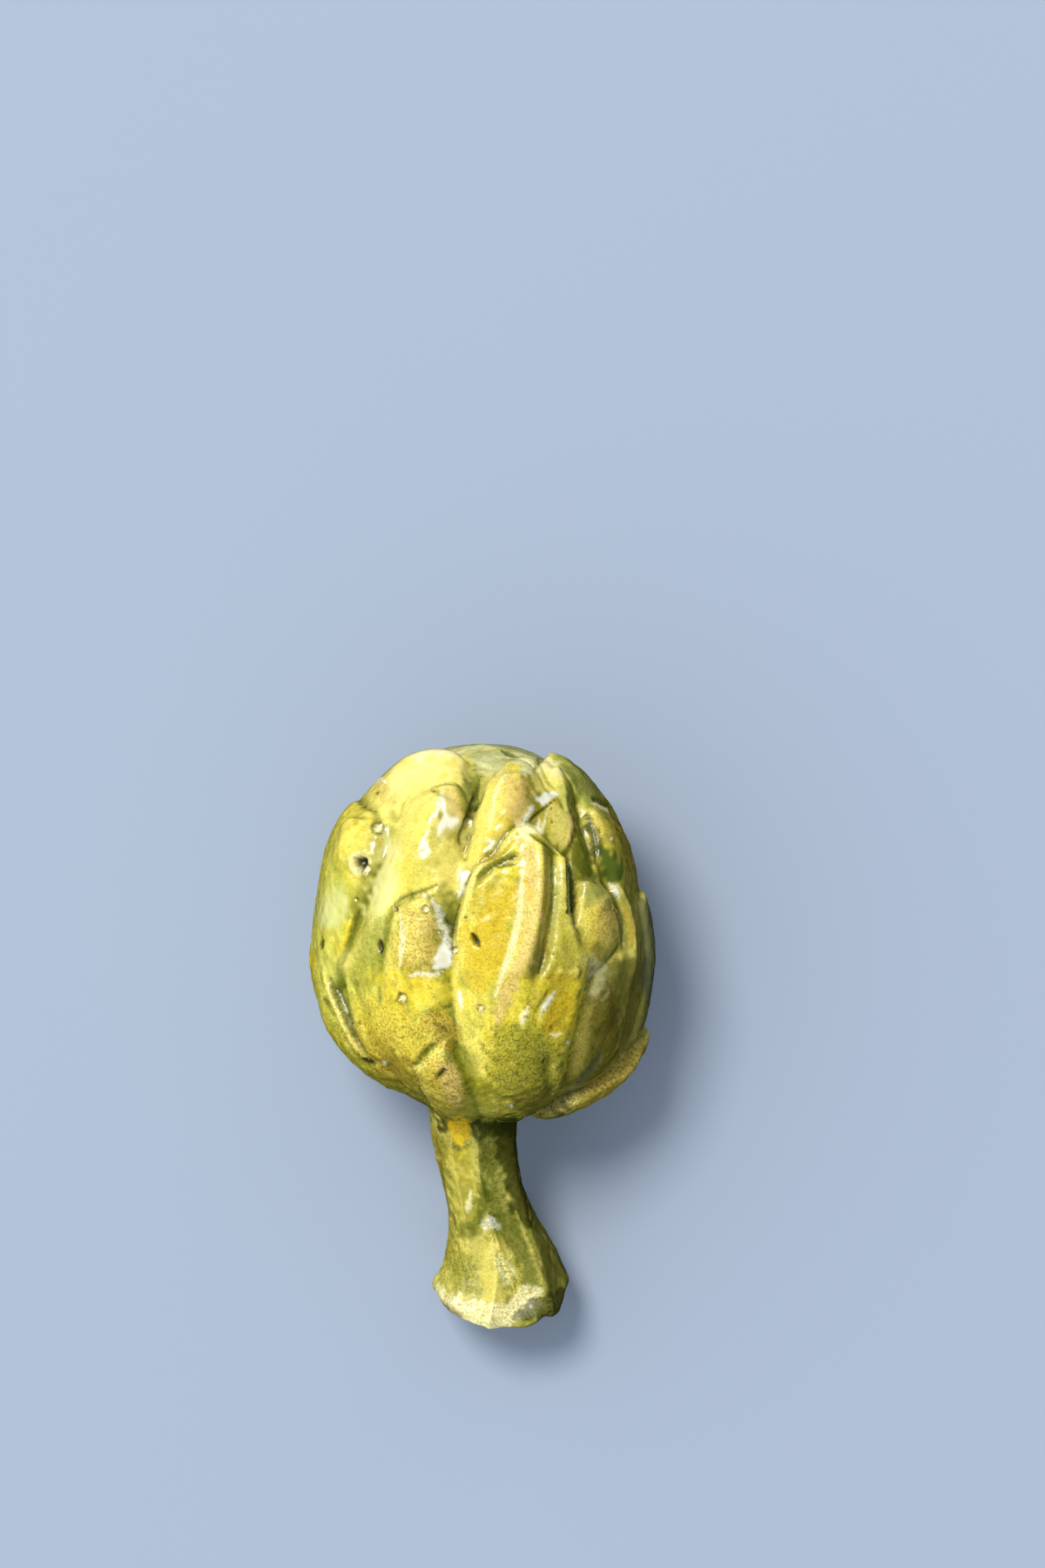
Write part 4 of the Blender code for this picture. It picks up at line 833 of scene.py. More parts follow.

# Patches of another glaze, some of them painted shade, highlights and reflections instead: outline in pixels,
# softness of its edge in pixels, colour, how strongly it covers, and its graininess.
PATCHES = [
    ("zone_upper_light", [(400, 935), (450, 900), (520, 905), (540, 960), (520, 1020), (460, 1040),
     (420, 1010), (396, 980)], 40, LEMON, 0.35, 0.35),
    ("zone_upper_tan", [(560, 890), (600, 885), (612, 920), (590, 955), (556, 950)], 24, TAN, 0.35, 0.4),
    ("zone_crown_left", [(436, 905), (450, 876), (478, 860), (512, 853), (536, 860), (538, 890), (512, 904),
     (484, 918), (452, 930)], 12, LEMON, 0.85, 0.1),
    ("zone_crown_tan", [(430, 900), (446, 894), (458, 906), (452, 922), (434, 920)], 8, TAN, 0.5, 0.4),
    ("zone_crown_right", [(664, 880), (676, 886), (690, 910), (688, 922), (672, 915), (662, 898)], 8,
     GREY_GREEN, 0.6, 0.5),
    ("zone_crown_pale", [(610, 872), (634, 872), (646, 890), (630, 892), (614, 884)], 7, CREAM, 0.4, 0.2),
    # Olive glaze with painted shade on the deep inner bract.
    ("zone_inner_right_shade", [(650, 932), (664, 928), (674, 950), (680, 985), (684, 1008), (664, 1004),
     (656, 975)], 8, MOSS, 0.8, 0.3),
    ("zone_upper_pale", [(610, 888), (632, 890), (640, 905), (624, 912), (610, 905)], 8, LEMON, 0.7, 0.2),
    # Painted shade in the valley below the right shoulder and on the slope right of the large bract's ridge.
    ("zone_shoulder_valley_shade", [(672, 935), (686, 945), (692, 965), (690, 985), (678, 980), (674, 955)], 5,
     DEEP_SHADE, 0.7, 1.0),
    ("zone_ridge_right_shade", [(612, 1090), (628, 1085), (632, 1130), (622, 1160), (606, 1170), (600, 1140)], 12,
     SHADE, 0.4, 0.7),
    ("zone_shoulder_low", [(366, 1020), (400, 1016), (404, 1050), (390, 1070), (364, 1060)], 12, PALE_GREEN,
     0.6, 0.2),
    ("zone_side_left", [(400, 1060), (440, 1060), (440, 1110), (424, 1140), (404, 1130)], 12, OLIVE, 0.4,
     0.5),
    ("zone_yellow_band", [(430, 1126), (480, 1120), (522, 1122), (536, 1146), (510, 1160), (448, 1162)], 34,
     YELLOW, 0.5, 0.3),
    ("zone_low_left", [(412, 1150), (452, 1160), (486, 1180), (484, 1216), (452, 1240), (424, 1206)], 14,
     GOLD, 0.5, 0.9),
    ("zone_mid_low", [(478, 1166), (510, 1162), (530, 1186), (520, 1206), (492, 1196)], 8, OCHRE, 0.6, 1.0),
    ("zone_face_brown", [(546, 1046), (582, 1040), (586, 1080), (570, 1110), (546, 1100)], 14, GOLD, 0.75,
     0.6),
    ("zone_right_face", [(632, 995), (650, 1000), (656, 1050), (670, 1090), (668, 1112), (634, 1112),
     (630, 1050)], 8, GREY_GREEN, 0.45, 0.5),
    ("zone_low_yellow", [(620, 1124), (662, 1124), (664, 1150), (650, 1190), (628, 1196), (618, 1160)], 16,
     YELLOW, 0.5, 0.5),
    # Painted shade on the head's right side, away from the lamp.
    ("zone_side_shade", [(680, 1104), (712, 1100), (748, 1110), (742, 1180), (716, 1214), (690, 1196),
     (674, 1150)], 12, SHADE, 0.7, 0.4),
    ("zone_low_olive", [(560, 1180), (610, 1176), (640, 1196), (646, 1236), (630, 1262), (590, 1268),
     (556, 1240)], 16, OLIVE, 0.55, 1.0),
    ("zone_low_green", [(586, 1196), (620, 1192), (636, 1214), (620, 1240), (590, 1236)], 12, MOSS, 0.35,
     1.0),
    # Painted shade on the lower facet right of the large bract's edge.
    ("zone_right_low_shade", [(678, 1098), (673, 1120), (670, 1140), (663, 1162), (659, 1186), (653, 1206),
     (650, 1228), (643, 1250), (656, 1262), (696, 1234), (712, 1194), (706, 1150), (694, 1110)], 5, UMBER,
     0.7, 0.6),
    # Painted shade and reflection along the right edge.
    ("zone_far_right_shade_and_reflection", [(734, 1030), (754, 1046), (756, 1110), (748, 1160), (738, 1130), (736, 1070)], 6,
     SLATE_SHADE, 0.75, 0.1),
    ("zone_front_left", [(504, 966), (532, 962), (536, 1000), (516, 1020), (500, 1000)], 14, LEMON, 0.6,
     0.3),
    ("zone_cap_right", [(590, 868), (612, 872), (612, 888), (594, 888)], 8, MIST, 0.75, 0.3),
    # Painted shade over pooled glaze in the valley by the base.
    ("zone_valley_shade", [(526, 1206), (544, 1212), (558, 1246), (564, 1284), (540, 1284), (530, 1244)], 10,
     OLIVE, 0.5, 0.6),
    ("zone_low_gold", [(404, 1176), (440, 1190), (470, 1220), (474, 1250), (440, 1236), (412, 1206)], 14,
     OCHRE, 0.5, 1.0),
    ("zone_low_umber", [(438, 1206), (470, 1216), (484, 1246), (478, 1262), (450, 1244), (432, 1224)], 12,
     UMBER, 0.45, 1.0),
    ("zone_base_right", [(662, 1262), (690, 1236), (716, 1214), (736, 1196), (740, 1214), (722, 1244),
     (694, 1264), (660, 1276)], 8, OCHRE, 0.75, 1.0),
    # Painted shade along the head's bottom edge, where it turns under.
    ("zone_bottom_edge_shade", [(484, 1264), (520, 1282), (560, 1288), (610, 1280), (650, 1268), (640, 1292),
     (560, 1300), (500, 1288)], 12, DEEP_SHADE, 0.6, 0.8),
    ("zone_bottom_right", [(584, 1262), (610, 1250), (640, 1250), (656, 1262), (640, 1282), (600, 1284)],
     14, UMBER, 0.6, 1.0),
    ("cap_green", [(550, 856), (572, 853), (592, 866), (588, 880), (562, 880), (548, 868)], 6, OLIVE, 0.25,
     0.4),
    ("crown_left_rim", [(468, 864), (504, 853), (536, 858), (530, 867), (500, 866), (474, 874)], 6, CREAM,
     0.6, 0.1),
    ("cap_pale", [(548, 870), (566, 864), (580, 872), (578, 884), (560, 890), (546, 884)], 8, MIST, 0.5,
     0.3),
    ("crown_left_light", [(446, 890), (470, 862), (505, 856), (530, 862), (520, 884), (498, 894),
     (470, 904), (450, 910)], 22, CREAM, 0.2, 0.1),
    ("front_left_flat", [(510, 905), (526, 908), (531, 925), (528, 940), (516, 930), (509, 918)], 4, TAN,
     0.8, 0.6),
    # Painted highlights on the front left bract.
    ("front_left_glint_wide", [(500, 905), (512, 904), (524, 916), (532, 940), (520, 958), (500, 968),
     (496, 940)], 9, CREAM, 0.15, 0.2),
    ("front_left_glint", [(506, 908), (511, 920), (515, 936), (527, 942), (521, 949), (510, 951),
     (503, 960), (504, 945), (507, 930)], 3, WHITE, 0.7, 0.0),
    ("ridge_band", [(598, 968), (612, 972), (622, 1000), (622, 1040), (616, 1080), (600, 1120), (584, 1160),
     (566, 1176), (572, 1140), (588, 1100), (600, 1060), (603, 1020)], 9, PINK, 0.7, 0.6),
    # Painted highlights on the upper bract.
    ("upper_glint", [(615, 919), (622, 912), (633, 909), (639, 912), (632, 919), (621, 926)], 3, WHITE,
     0.85, 0.0),
    ("upper_glint_low", [(591, 944), (604, 945), (612, 949), (623, 951), (619, 957), (604, 957),
     (594, 953)], 4, CREAM, 0.7, 0.0),
    ("green_pool", [(532, 900), (550, 892), (556, 905), (548, 925), (538, 935), (530, 920)], 6, GREY_GREEN,
     0.6, 0.2),
    ("front_upper_flat", [(582, 895), (603, 897), (604, 925), (592, 948), (580, 930)], 9, PINK, 0.55, 0.4),
    ("front_upper_olive", [(632, 925), (652, 930), (655, 960), (645, 975), (630, 955)], 8, LEMON, 0.85,
     0.4),
    # Painted reflections down the left side.
    ("left_band_reflection", [(440, 962), (456, 968), (456, 1005), (448, 1040), (425, 1048), (432, 1005)], 10, MIST,
     0.45, 0.0),
    ("side_band_reflection", [(372, 1028), (396, 1024), (392, 1052), (370, 1066), (364, 1048)], 10, MIST, 0.4, 0.0),
    ("mid_flat", [(466, 1040), (492, 1052), (503, 1075), (500, 1100), (478, 1114), (462, 1100),
     (464, 1065)], 12, TAN, 0.6, 0.8),
    # A painted highlight.
    ("mid_glint", [(506, 1084), (513, 1086), (518, 1102), (508, 1112), (494, 1114), (501, 1102)], 4, WHITE,
     0.75, 0.0),
    ("large_face", [(555, 1020), (595, 1010), (596, 1050), (584, 1100), (560, 1140), (535, 1120),
     (532, 1060)], 18, GOLD, 0.8, 0.5),
    ("right_pool", [(686, 972), (704, 976), (715, 1000), (708, 1016), (692, 1008)], 6, GREEN, 0.9, 0.1),
    ("low_right_light", [(664, 1012), (684, 1010), (700, 1028), (690, 1040), (668, 1040)], 6, GREY_GREEN,
     0.75, 0.3),
    ("low_right_pitted", [(684, 1034), (702, 1036), (708, 1062), (700, 1085), (684, 1075)], 5, TAN, 0.6,
     0.7),
    # A painted reflection on the right side.
    ("side_right_reflection", [(672, 1100), (690, 1100), (696, 1126), (690, 1146), (680, 1136), (674, 1118)], 12,
     MIST, 0.4, 0.3),
    ("hollow_gold", [(632, 1150), (646, 1140), (654, 1158), (648, 1178), (634, 1186), (627, 1170)], 16,
     AMBER, 0.6, 0.7),
    ("hollow_ochre", [(630, 1172), (644, 1170), (650, 1180), (640, 1186), (631, 1183)], 5, OCHRE, 0.5, 0.6),
    ("base_front_light", [(484, 1230), (512, 1218), (528, 1256), (512, 1282), (490, 1262)], 14, GOLD, 0.3,
     1.0),
    ("base_front_pink", [(504, 1222), (518, 1220), (530, 1250), (522, 1270), (508, 1250)], 8, PINK, 0.6,
     1.0),
    ("neck_shade", [(497, 1280), (520, 1288), (545, 1286), (570, 1282), (593, 1280), (595, 1298),
     (575, 1306), (550, 1302), (530, 1298), (503, 1300)], 8, DEEP_SHADE, 0.85, 0.5),
    ("stem_middle", [(548, 1300), (572, 1300), (578, 1350), (582, 1396), (566, 1398), (558, 1360),
     (550, 1330)], 10, MOSS, 0.6, 0.7),
    # Painted shade down the stem's right side.
    ("stem_dark_right_shade", [(566, 1294), (594, 1290), (598, 1330), (604, 1370), (612, 1405), (600, 1410),
     (586, 1380), (576, 1350), (570, 1322)], 7, DEEP_SHADE, 0.85, 0.4),
    ("stem_right_shade", [(562, 1390), (594, 1394), (606, 1425), (618, 1460), (622, 1480), (606, 1476),
     (594, 1452), (578, 1426)], 7, MOSS, 0.75, 0.5),
    ("stem_far_right_shade", [(606, 1400), (616, 1406), (634, 1436), (648, 1462), (646, 1490), (630, 1486),
     (626, 1460), (616, 1425)], 5, DEEP_SHADE, 0.5, 0.3),
    ("stem_green", [(548, 1350), (558, 1352), (560, 1380), (556, 1404), (549, 1404), (547, 1378)], 5, MOSS,
     0.8, 0.3),
    ("stem_pale", [(512, 1322), (540, 1318), (546, 1350), (545, 1396), (526, 1400), (516, 1360)], 8, SAND,
     0.3, 0.3),
    ("stem_pale_low", [(530, 1424), (562, 1414), (572, 1450), (582, 1490), (560, 1506), (530, 1500),
     (528, 1450)], 16, LEMON, 0.5, 0.4),
    ("stem_mottle", [(518, 1444), (536, 1440), (550, 1456), (548, 1486), (530, 1484), (516, 1466)], 9,
     OLIVE, 0.55, 0.8),
    ("stem_spot", [(526, 1406), (548, 1406), (552, 1416), (540, 1422), (526, 1418)], 5, MOSS, 0.5, 0.3),
    ("stem_gold", [(514, 1288), (536, 1286), (539, 1302), (530, 1316), (522, 1308), (515, 1304)], 6, AMBER,
     0.95, 0.5),
    ("stem_gold_drip", [(524, 1304), (532, 1306), (533, 1324), (528, 1328)], 4, YELLOW, 0.7, 0.3),
    ("stem_rim", [(500, 1474), (516, 1484), (532, 1494), (552, 1494), (575, 1498), (594, 1484), (618, 1474),
     (626, 1484), (604, 1500), (594, 1516), (566, 1534), (535, 1530), (512, 1510), (496, 1490)], 5, CREAM,
     0.55, 0.8),
    # Painted shade in the notch beyond the stem end's rim.
    ("stem_rim_dark_right_shade", [(590, 1516), (597, 1502), (608, 1492), (624, 1486), (650, 1478), (650, 1500),
     (620, 1516)], 3, DEEP_SHADE, 0.75, 0.9),
    ("stem_rim_dark_left", [(504, 1491), (514, 1497), (526, 1505), (534, 1513), (520, 1510), (506, 1501)],
     3, BROWN, 0.7, 0.4),
    ("stem_white", [(553, 1400), (562, 1397), (570, 1402), (571, 1411), (564, 1413), (558, 1408)], 6, WHITE,
     0.5, 1.0),
    ("stem_sparkle", [(566, 1444), (580, 1446), (588, 1460), (584, 1474), (574, 1466)], 6, MIST, 0.55, 1.0),
]

# Pits scattered over the sides that the photograph doesn't show, in degrees and millimetres.
BACK_PITS = 70
BACK_PIT_SEED = 23
BACK_PIT_AZIMUTHS = (95.0, 265.0)
BACK_PIT_REACHES = (20.0, 112.0)
BACK_PIT_RADII = (0.5, 1.5)
BACK_BLISTER_SHARE = 0.35
BACK_PIT_DEPTH = 0.35
BACK_PIT_LIP = 0.2

# Noise in the clay and glaze: seed, number of waves, and their lengths as shares of the length asked for.
# Each noise has a number of its own, which is added to the seed.
CLAY_SEED = 7
CLAY_WAVES = 14
CLAY_LENGTHS = (0.7, 1.5)

# Lengths of the noises that mottle the glaze and lift its small lumps, and the share of each second one.
SLOW_LENGTH = 24.0
PATCHY_LENGTHS = (9.0, 3.6)
PATCHY_SHARE = 0.6
SMALL_LENGTHS = (2.4, 1.5)
SMALL_SHARE = 0.5
LUMP_LENGTHS = (4.2, 2.2)
LUMP_SHARE = 0.6
LUMP_HEIGHT = 0.03
GRAINY_LUMP_HEIGHT = 0.05

# How the edges of patches, lines and pits wander: length of the noise, and its share.
PATCH_WANDER = (2.6, 0.35)
LINE_WANDER = (1.7, 0.3)
PIT_WANDER = (1.6, 0.08)

# Widths over which colour and grain run into their neighbours.
TONE_BLUR = 2.4
GRAIN_BLUR = 4.0

# Mottling: colour, strength, shares of the slow, patchy and small noise, the values between which it sets in,
# and its factor as a plain part and a part that goes with the grain.
MOTTLES = [
    (OCHRE, 0.3, (1.0, 0.6, 0.0), (0.3, 1.6), (1.0, 0.0)),
    (PALE_GREEN, 0.4, (-1.0, 0.5, 0.0), (0.2, 1.6), (1.0, 0.0)),
    (OLIVE, 0.45, (0.0, 1.0, 1.0), (0.4, 2.2), (0.3, 1.0)),
    (LEMON, 0.45, (0.0, -1.0, -1.0), (0.4, 2.2), (1.0, 0.0)),
]

# Darker olive and grainier glaze towards the foot of the head, and painted shade where the head turns in to
# the stem, under it, and on the side that faces right, away from the lamp: how strongly, and where it sets
# in.
LOW_HEAD_SPAN = (84.0, 104.0)
LOW_HEAD_GRAIN = 0.6
LOW_HEAD_SHARE = 0.5
TURN_IN_SHADE_SPAN = (106.0, 118.0)
TURN_IN_SHADE_SHARE = 0.5
RIGHT_SHADE_SPAN = (0.45, 0.95)
RIGHT_SHADE_SHARE = 0.55

# Where glaze gathers in creases (1) or runs thin over edges (-1), with painted shade in the creases, darkest
# in the narrow ones, and painted highlights on the edges: width over which the surface is compared with its
# surroundings, side, colour, strength, and the depths between which it sets in, in millimetres.
GLAZE_POOLS_AND_CREASE_SHADE = [
    (7.0, 1, OLIVE, 0.85, (0.05, 0.55)),
    (2.0, 1, MOSS, 0.9, (0.07, 0.4)),
    (2.0, 1, DARK, 0.8, (0.25, 0.8)),
    (1.0, 1, DARK, 0.6, (0.06, 0.3)),
    (2.0, -1, CREAM, 0.45, (0.15, 0.6)),
    (7.0, -1, LEMON, 0.35, (0.3, 1.2)),
]

# Painted shade on slopes that face right and down the photograph, away from the lamp, and painted light on
# those
# that face left and up, towards it: strength, and the differences from the surroundings between which it sets
# in.
DOWN_SHARE = 0.6
SLOPE_BLUR = 20.0
SLOPE_SHADE_PAINT = (0.65, (0.03, 0.5))
SLOPE_LIGHT_PAINT = (0.55, (0.03, 0.4))
STEM_SLOPE_LOSS = 0.6

# Drawn lines: least width at their ends, where along them they are full, and how softly they cover.
LEAST_WIDTH = 0.45
FULL_WIDTH = (0.3, 0.7)
FULL_LIFT = (0.06, 0.94)
COVER_SPAN = (1.5, 0.5)
LINE_MARGIN = 3.0

# The glaze's material: sizes of its noises in metres, tints that multiply its colour, the noise values
# between which they set in, its gloss on smooth glaze with what the grain adds or takes, and its fine bumps.
FINE_SIZE = 0.00065
FINER_SIZE = 0.0005
CLOUD_SIZE = 0.0034
WAVY_SIZE = 0.004
DARK_TINT = (0.38, 0.36, 0.18)
DARK_SPAN = (0.47, 0.62)
PALE_TINT = (1.3, 1.3, 1.2)
PALE_SPAN = (0.52, 0.62)
CLOUD_TINT = (0.62, 0.53, 0.3)
CLOUD_SPAN = (0.35, 0.75)
CLOUD_SHARE = 0.35
ROUGHNESS = 0.16
GRAIN_ROUGHNESS = 0.22
SPECULAR = 0.4
COAT = 0.42
GRAIN_COAT_LOSS = 0.3
COAT_ROUGHNESS = 0.05
GRAIN_BUMP = {"Strength": 0.35, "Distance": 0.0004}
WAVY_BUMP = {"Strength": 0.25, "Distance": 0.001}
COAT_BUMP = {"Strength": 0.3, "Distance": 0.001}

# The mix node's sockets for two colours and for their result.
MIX_FIRST = 6
MIX_SECOND = 7
MIX_RESULT = 2

# The floor: colour, roughness and half its width in metres.
FLOOR_COLOUR = (0.262, 0.314, 0.402, 1.0)
FLOOR_ROUGHNESS = 0.9
FLOOR_HALF = 3.0

# One soft lamp high up on the left, and a sky that is brighter on the left than on the right.
KEY_PLACE = (-1.7, 2.1, 6.0)
KEY_SIZE = 2.1
KEY_POWER = 406.0
KEY_COLOUR = (1.0, 0.96, 0.88)
SKY_COLOUR = (0.83, 0.89, 0.98, 1.0)
SKY_SPAN = (-0.9, 0.9)
SKY_STRENGTHS = (1.65, 0.35)


def clay_noise(points, length, number):
    """Smooth irregular values round 0 that change over about the given length, for points in millimetres."""
    return wave_sum(points, CLAY_SEED + number, CLAY_WAVES, length, CLAY_LENGTHS) / math.sqrt(CLAY_WAVES / 2)


def clay_noises(points, lengths, share, number):
    """A coarse noise with a share of a finer one."""
    return clay_noise(points, lengths[0], number) + share * clay_noise(points, lengths[1], number + 1)


def photo_places(points):
    """Where each point, in metres, lies in the photograph, in pixels."""
    camera_x, camera_y, camera_height = CAMERA_PLACE
    pixels = (camera_height - SCALE_HEIGHT) / (camera_height - points[..., 2]) / (PIXEL_SIZE * MM)
    across = IMAGE_SIZE[0] / 2 + (points[..., 0] - camera_x) * pixels
    down = IMAGE_SIZE[1] / 2 - (points[..., 1] - camera_y) * pixels
    return across, down


def surface_normals(points):
    round_step = np.roll(points, -1, axis=1) - np.roll(points, 1, axis=1)
    along_step = np.gradient(points, axis=0)
    normals = np.cross(along_step, round_step)
    size = np.linalg.norm(normals, axis=-1, keepdims=True)
    return normals / np.maximum(size, TINY)


def mixed(colour, other, share):
    """The colours moved towards another one by a share at each place."""
    share = np.clip(share, 0.0, 1.0)[..., None]
    return colour + (other - colour) * share


def bump(value, middle, width):
    return np.exp(-(((value - middle) / width) ** 2))


class Surface:
    """The finished surface on the body's grid: places, lift of the marks, glaze colour with painted shade and
    highlights in it, and graininess.
    """

    def __init__(self):
        self.profile = Profile()
        self.rows = np.linspace(0.0, self.profile.length, int(self.profile.length / ROW_STEP))
        self.azimuths = np.arange(GRID_COLUMNS) * 360.0 / GRID_COLUMNS - 180.0
        self.azimuth, self.reach = np.meshgrid(self.azimuths, self.rows)
        self.height, self.owner = relief(self.profile, self.azimuth, self.reach)
        self.height[0] = self.height[0].mean()
        self.height[-1] = 0.0
        plain = body_points(self.profile, self.azimuth, self.reach, self.height, TILT)
        before_end = smoothstep(self.profile.length, self.profile.rim, self.reach)
        self.fade = smoothstep(0.0, POLE_FADE, self.reach) * before_end
        waved = self.height + self.fade * hand_waves(plain)
        points = body_points(self.profile, self.azimuth, self.reach, waved, TILT)
        self.points = settled(self.profile, self.reach, points) * MM
        self.normals = surface_normals(self.points)
        self.across, self.down = photo_places(self.points)
        self.seen = (self.normals[..., 2] > 0.0) & (np.abs(self.azimuth) < FRONT_AZIMUTHS[1])
        self.lift = np.zeros(self.reach.shape)
        self.colour = np.zeros(self.reach.shape + (3,))
        self.grain = np.zeros(self.reach.shape)

    def near(self, places, margin):
        """The seen spots within a margin of some photograph places."""
        return in_box(self.across, self.down, places, margin) & self.seen

    def tint(self, tone, share):
        self.colour = mixed(self.colour, tone, share)

    def cover(self, spots, tone, share):
        self.colour[spots] = mixed(self.colour[spots], tone, share)

    def press(self, spots, share, depth, lip, kind):
        """Presses a pit in, for distances from its middle as shares of its radius."""
        bottom, bottom_share, ring, ring_share = kind
        self.lift[spots] += lip * bump(share, LIP_PLACE, LIP_WIDTH) - depth * smoothstep(*WALL_SPAN, share)
        self.cover(spots, ring, ring_share * bump(share, RING_PLACE, RING_WIDTH))
        self.cover(spots, bottom, bottom_share * smoothstep(*BOTTOM_SPAN, share))

    def blurred(self, value, length):
        """The value averaged over about the given length each way, in millimetres."""
        rows, columns = value.shape
        row_half = max(1, round(length / (self.rows[1] - self.rows[0]) / 2))
        padded = np.pad(value, ((row_half, row_half), (0, 0)), mode="edge")
        total = np.cumsum(np.vstack([np.zeros((1, columns)), padded]), axis=0)
        smooth = (total[2 * row_half + 1 :] - total[: -2 * row_half - 1]) / (2 * row_half + 1)
        spacing = np.maximum(self.profile.radius(self.rows), LEAST_RADIUS) * 2 * math.pi / columns
        for row in range(rows):
            half = min(int(round(length / spacing[row] / 2)), columns // 2 - 1)
            wrapped = np.concatenate([smooth[row, columns - half :], smooth[row], smooth[row, : half + 1]])
            total_row = np.concatenate([[0.0], np.cumsum(wrapped)])
            smooth[row] = (total_row[2 * half + 1 :] - total_row[: -2 * half - 1])[:columns] / (2 * half + 1)
        return smooth


def lay_base_glaze(surface):
    """Each bract's own colour, blended over its neighbours and mottled, darker towards the head's foot, with
    painted shade under the head and on the side that faces right.
    """
    for number, bract in enumerate(all_bracts()):
        spots = surface.owner == number
        if not spots.any():
            continue
        back_glaze = (BACK_TONES[number % len(BACK_TONES)], OLIVE, BACK_GRAIN)
        tip, foot, grain = BRACT_TONES.get(bract[0], back_glaze)
        reach = surface.reach[spots]
        share = (reach - reach.min()) / max(reach.max() - reach.min(), 1.0)
        surface.colour[spots] = mixed(np.broadcast_to(tip, reach.shape + (3,)), foot, share)
        surface.grain[spots] = grain
    bare = surface.owner < 0
    surface.colour[bare] = STEM_TONE
    surface.grain[bare] = STEM_GRAIN
    for channel in range(3):
        surface.colour[..., channel] = surface.blurred(surface.colour[..., channel], TONE_BLUR)
    surface.grain = surface.blurred(surface.grain, GRAIN_BLUR)
    on_head = surface.reach < surface.profile.head_length
    low_head = smoothstep(*LOW_HEAD_SPAN, surface.reach) * on_head
    surface.grain += LOW_HEAD_GRAIN * low_head
    points = surface.points / MM
    slow = clay_noise(points, SLOW_LENGTH, number=0)
    patchy = clay_noises(points, PATCHY_LENGTHS, PATCHY_SHARE, number=1)
    small = clay_noises(points, SMALL_LENGTHS, SMALL_SHARE, number=3)
    for tone, strength, shares, span, (plain, with_grain) in MOTTLES:
        value = shares[0] * slow + shares[1] * patchy + shares[2] * small
        surface.tint(tone, strength * smoothstep(*span, value) * (plain + with_grain * surface.grain))
    surface.tint(OLIVE, LOW_HEAD_SHARE * low_head)
    # Painted shade under the head, where it turns in to the stem, and on the side that faces right.
    surface.tint(MOSS, TURN_IN_SHADE_SHARE * smoothstep(*TURN_IN_SHADE_SPAN, surface.reach) * on_head)
    surface.tint(SHADE, RIGHT_SHADE_SHARE * smoothstep(*RIGHT_SHADE_SPAN, surface.normals[..., 0]))


def roughen(surface):
    """Small lumps left by the maker's fingers, stronger where the glaze is grainy."""
    lumps = clay_noises(surface.points / MM, LUMP_LENGTHS, LUMP_SHARE, number=9)
    surface.lift += (LUMP_HEIGHT + GRAINY_LUMP_HEIGHT * surface.grain) * lumps


def pool_glaze_and_paint_shading(surface):
    """Glaze gathers dark in the creases and runs thin and pale over the edges, with painted shade in the
    creases and painted highlights on the edges, and slopes get painted shade away from the lamp and painted
    light towards it.
    """
    whole = surface.height + surface.lift
    for width, side, tone, strength, span in GLAZE_POOLS_AND_CREASE_SHADE:
        depth = surface.blurred(whole, width) - whole
        surface.tint(tone, strength * smoothstep(*span, side * depth))
    # Painted shade and light by which way each slope faces the lamp, weaker on the stem.
    slope = surface.normals[..., 0] - DOWN_SHARE * surface.normals[..., 1]
    slope = slope - surface.blurred(slope, SLOPE_BLUR)
    on_head = 1.0 - STEM_SLOPE_LOSS * (surface.reach > surface.profile.head_length)
    surface.tint(MOSS, SLOPE_SHADE_PAINT[0] * smoothstep(*SLOPE_SHADE_PAINT[1], slope))
    surface.tint(LEMON, SLOPE_LIGHT_PAINT[0] * on_head * smoothstep(*SLOPE_LIGHT_PAINT[1], -slope))


def paint_patches(surface):
    length, wander = PATCH_WANDER
    for _, outline, softness, tone, share, grain in PATCHES:
        loop = smooth_loop(np.array(outline, float), OUTLINE_STEPS)
        spots = surface.near(loop, 2.0 * softness)
        rough = clay_noise(surface.points[spots] / MM, length, number=5)
        inside = edge_distance(surface.across[spots], surface.down[spots], loop) + wander * softness * rough
        cover = smoothstep(-softness / 2, softness / 2, inside)
        surface.cover(spots, tone, share * cover)
        surface.grain[spots] += (grain - surface.grain[spots]) * cover


def draw_lines(surface):
    length, wander = LINE_WANDER
    for _, route, half_width, lift, tone, share in LINES:
        line = smooth_line(route, LINE_STEPS)
        spots = surface.near(line, LINE_MARGIN * half_width)
        rough = clay_noise(surface.points[spots] / MM, length, number=6)
        away, along = line_distance(surface.across[spots], surface.down[spots], line)
        width = half_width * (LEAST_WIDTH + (1.0 - LEAST_WIDTH) * full_between(FULL_WIDTH, along))
        if lift > 0.0:
            width = width * (1.0 + wander * rough)
        surface.lift[spots] += lift * full_between(FULL_LIFT, along) * bump(away / width, 0.0, 1.0)
        surface.cover(spots, tone, share * smoothstep(*COVER_SPAN, away / width))


def press_pits(surface):
    length, wander = PIT_WANDER
    for _, kind, place, radius, depth, lip in PITS:
        spots = surface.near([place], PIT_MARGIN * radius)
        share = np.hypot(surface.across[spots] - place[0], surface.down[spots] - place[1]) / radius
        share = share * (1.0 + wander * clay_noise(surface.points[spots] / MM, length, number=8))
        surface.press(spots, share, depth, lip, PIT_KINDS[kind])


